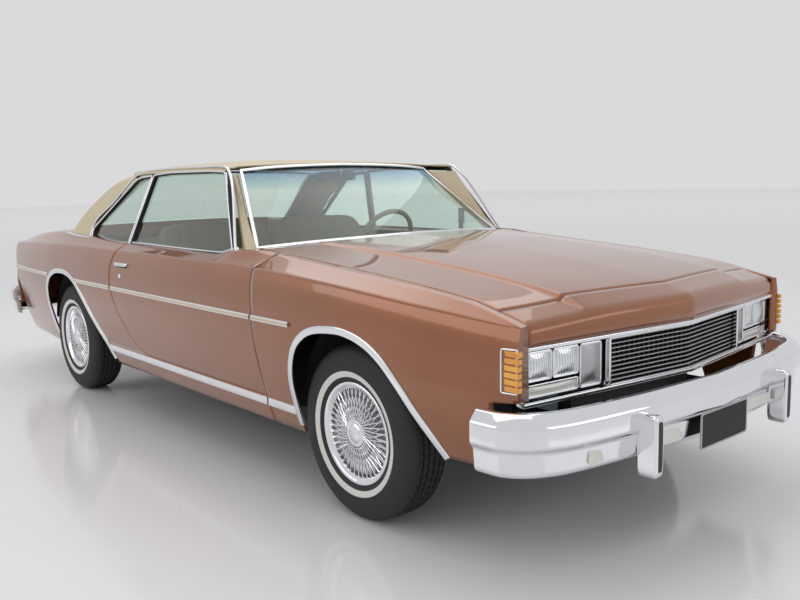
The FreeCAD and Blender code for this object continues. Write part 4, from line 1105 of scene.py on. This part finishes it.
def seat(low, high, lean=0.0, face=2):
    """A channelled cushion. lean moves it back as it rises, and face is the axis its channels open to. A
    channel is a bell curve of the place in its pitch, and it fades towards the cushion's sides."""
    grid, *rest = cushion(low, high, "cloth", 0.3, 41, 320)
    middle, half = (np.array(low) + high) / 2, (np.array(high, float) - low) / 2
    share = (grid - middle) / half
    crown = 1 - PULL_IN * (share[..., 0] ** 2)
    bell = np.exp(-((grid[..., 0] / CHANNEL % 1 - 0.5) / VALLEY_WIDTH) ** 2)
    fade = np.clip(np.abs(share[..., face]) * 1.6 - 0.5, 0, 1)
    valley = VALLEY * bell * fade
    crowned = middle[face] + (grid[..., face] - middle[face]) * crown
    grid[..., face] = crowned - np.sign(share[..., face]) * valley
    grid[..., 1] += lean * (grid[..., 2] - low[2])
    return (grid, *rest)


SEATS = [("front_cushion", [seat((-698, 1232, 452), (698, 1743, 600))], ["front_seat"]),
         ("front_back_right", [seat((-698, 1746, 468), (-8, 1850, 1072), BACK_LEAN, 1)], []),
         ("front_back_left", [seat((8, 1746, 468), (698, 1850, 1072), BACK_LEAN, 1)], []),
         ("rear_cushion", [seat((-552, 2242, 450), (552, 2640, 600))], ["rear_seat"]),
         ("rear_back", [seat((-550, 2642, 534), (550, 2748, 968), BACK_LEAN, 1)], [])]
for name, grids, nodes in SEATS:
    made = piece(name, grids, stands_for=nodes, slot="cloth")
for label, side in SIDES:
    base = block(side * 370, 228, (1322, 1698), (328, 452), "dark", 0.15)
    piece(f"seat_frame_{label}", [base], slot="trim")
print("seat cushions", len(SEATS))

# %% [markdown]
# The dash is one padded moulding across the car with a hooded panel for the driver's dials. Its section
# is carried straight across, and its two ends are shut.

# %% Dash and mirrors
DASH_HALF, DIALS = 738, (300, 420, 540)
profile = rounded([(866, 985), (1120, 985), (1150, 950), (1125, 720), (1000, 660), (700, 660), (700, 925),
                   (866, 930)], 26, 6)
x = np.linspace(-DASH_HALF, DASH_HALF, 40)
dash = np.stack([np.stack([x, y + 0 * x, z + 0 * x], -1) for y, z in profile])
ends = [np.stack([dash[:, i], np.broadcast_to(dash[:, i].mean(0), dash[:, i].shape)]) for i in (0, -1)]
piece("dash_pad", [(dash, "trim", True, False)] + [(end, "trim", False, True) for end in ends],
      stands_for=["dashboard"], slot="trim")
bezel = spin([(0, 44), (7, 48), (7, 52), (0, 55)], (0, 0, 0), "chrome", 40)[0]
dial = spin([(1, 0), (1, 45)], (0, 0, 0), "dark", 40)[0]
faces = []
for place in DIALS:
    for grid, kind in ((bezel, "chrome"), (dial, "dark")):
        turned = np.stack([grid[..., 1] + place * 0.93 + 20, grid[..., 0] + 1133, grid[..., 2] + 850], -1)
        faces.append((turned, kind, False, True))
piece("dials", faces, slot="trim")
mirror = [cushion((-125, 1236, 1288), (125, 1258, 1338), "dark", 0.35),
          cushion((-8, 1200, 1318), (8, 1244, 1358), "chrome", 0.6)]
piece("interior_mirror", mirror, slot="trim")
print("dash", dash.shape, "and", len(DIALS), "dials")

# %% [markdown]
# The camera stands off the right front corner at a person's eye level and looks a little down. Its axes
# are built from three angles, so a small roll is one number.

# %% Camera
camera = bpy.data.objects.new("camera", bpy.data.cameras.new("camera"))
bpy.context.scene.collection.objects.link(camera)
camera.data.sensor_width, camera.data.lens = 36.0, 37.68
yaw, pitch, roll = math.radians(40.3), math.radians(-8.15), math.radians(-1.41)
forward = Vector((math.sin(yaw) * math.cos(pitch), math.cos(yaw) * math.cos(pitch), math.sin(pitch)))
right = Vector((math.cos(yaw), -math.sin(yaw), 0))
up = right.cross(forward)
side = right * math.cos(roll) + up * math.sin(roll)
top = up * math.cos(roll) - right * math.sin(roll)
turn = Matrix((side, top, -forward)).transposed().to_4x4()
camera.matrix_world = Matrix.Translation((-2.716, -2.463 + AXLE_Y, 1.288)) @ turn
bpy.context.scene.camera = camera
print("camera at", tuple(round(value, 3) for value in camera.matrix_world.translation))

# %% [markdown]
# The car sits in a pale studio on a polished floor. Large soft lights overhead and to the side draw the
# long reflections along the hood and the shoulder. Chrome and glass are mostly what they reflect, so
# their rays see the same background as the camera, and only the light that falls on the car is dimmer.

# %% Stage and light
FLOOR_HALF = 60.0
AMBIENT, BACKDROP = (0.64, 0.64, 0.65), (0.70, 0.70, 0.715)


def polished(start, shader):
    """A floor whose polish and tint drift slowly from place to place."""
    drift = start.node("TexNoise", Vector=start, Scale=0.5, Detail=2.0)
    link(drift * 0.05 + 0.10, shader.inputs["Roughness"])
    link(mix(drift, (0.84, 0.84, 0.85), (0.88, 0.88, 0.89)), shader.inputs["Base Color"])


mesh = bpy.data.meshes.new("floor")
corners = [(x * FLOOR_HALF, y * FLOOR_HALF, 0) for x, y in ((-1, -1), (1, -1), (1, 1), (-1, 1))]
mesh.from_pydata(corners, [], [(0, 1, 2, 3)])
mesh.materials.append(finish("polished_floor", (0.76, 0.76, 0.77), 0.12, grain=polished))
ground = bpy.data.objects.new("floor", mesh)
bpy.context.scene.collection.objects.link(ground)


def area_light(name, place, size, power, target=(0, 0, 0.6)):
    """A rectangular soft light at place that looks at target."""
    lamp = bpy.data.lights.new(name, "AREA")
    lamp.shape = "RECTANGLE"
    lamp.size, lamp.size_y = size
    lamp.energy = power
    light = bpy.data.objects.new(name, lamp)
    light.location = place
    light.rotation_euler = (Vector(target) - Vector(place)).to_track_quat("-Z", "Y").to_euler()
    bpy.context.scene.collection.objects.link(light)


area_light("overhead", (0.5, 0.5, 5.5), (5, 9), 120)
area_light("near_side", (-6.5, 1.5, 3.2), (7, 2.2), 60)
area_light("front", (1.5, -8, 2.6), (6, 2), 45)
world = bpy.data.worlds.new("world")
bpy.context.scene.world = world
world.use_nodes = True
tree = world.node_tree
sky = tree.nodes["Background"]
rays = tree.nodes.new("ShaderNodeLightPath")
camera_ray, glossy_ray, glass_ray = (Shade(tree, rays.outputs[f"Is {kind} Ray"])
                                     for kind in ("Camera", "Glossy", "Transmission"))
seen_by = camera_ray.math("MAXIMUM", camera_ray.math("MAXIMUM", camera_ray, glossy_ray), glass_ray)
link(mix(seen_by, AMBIENT, BACKDROP), sky.inputs["Color"])
sky.inputs["Strength"].default_value = 1.0
bpy.context.scene.view_settings.view_transform = "Standard"
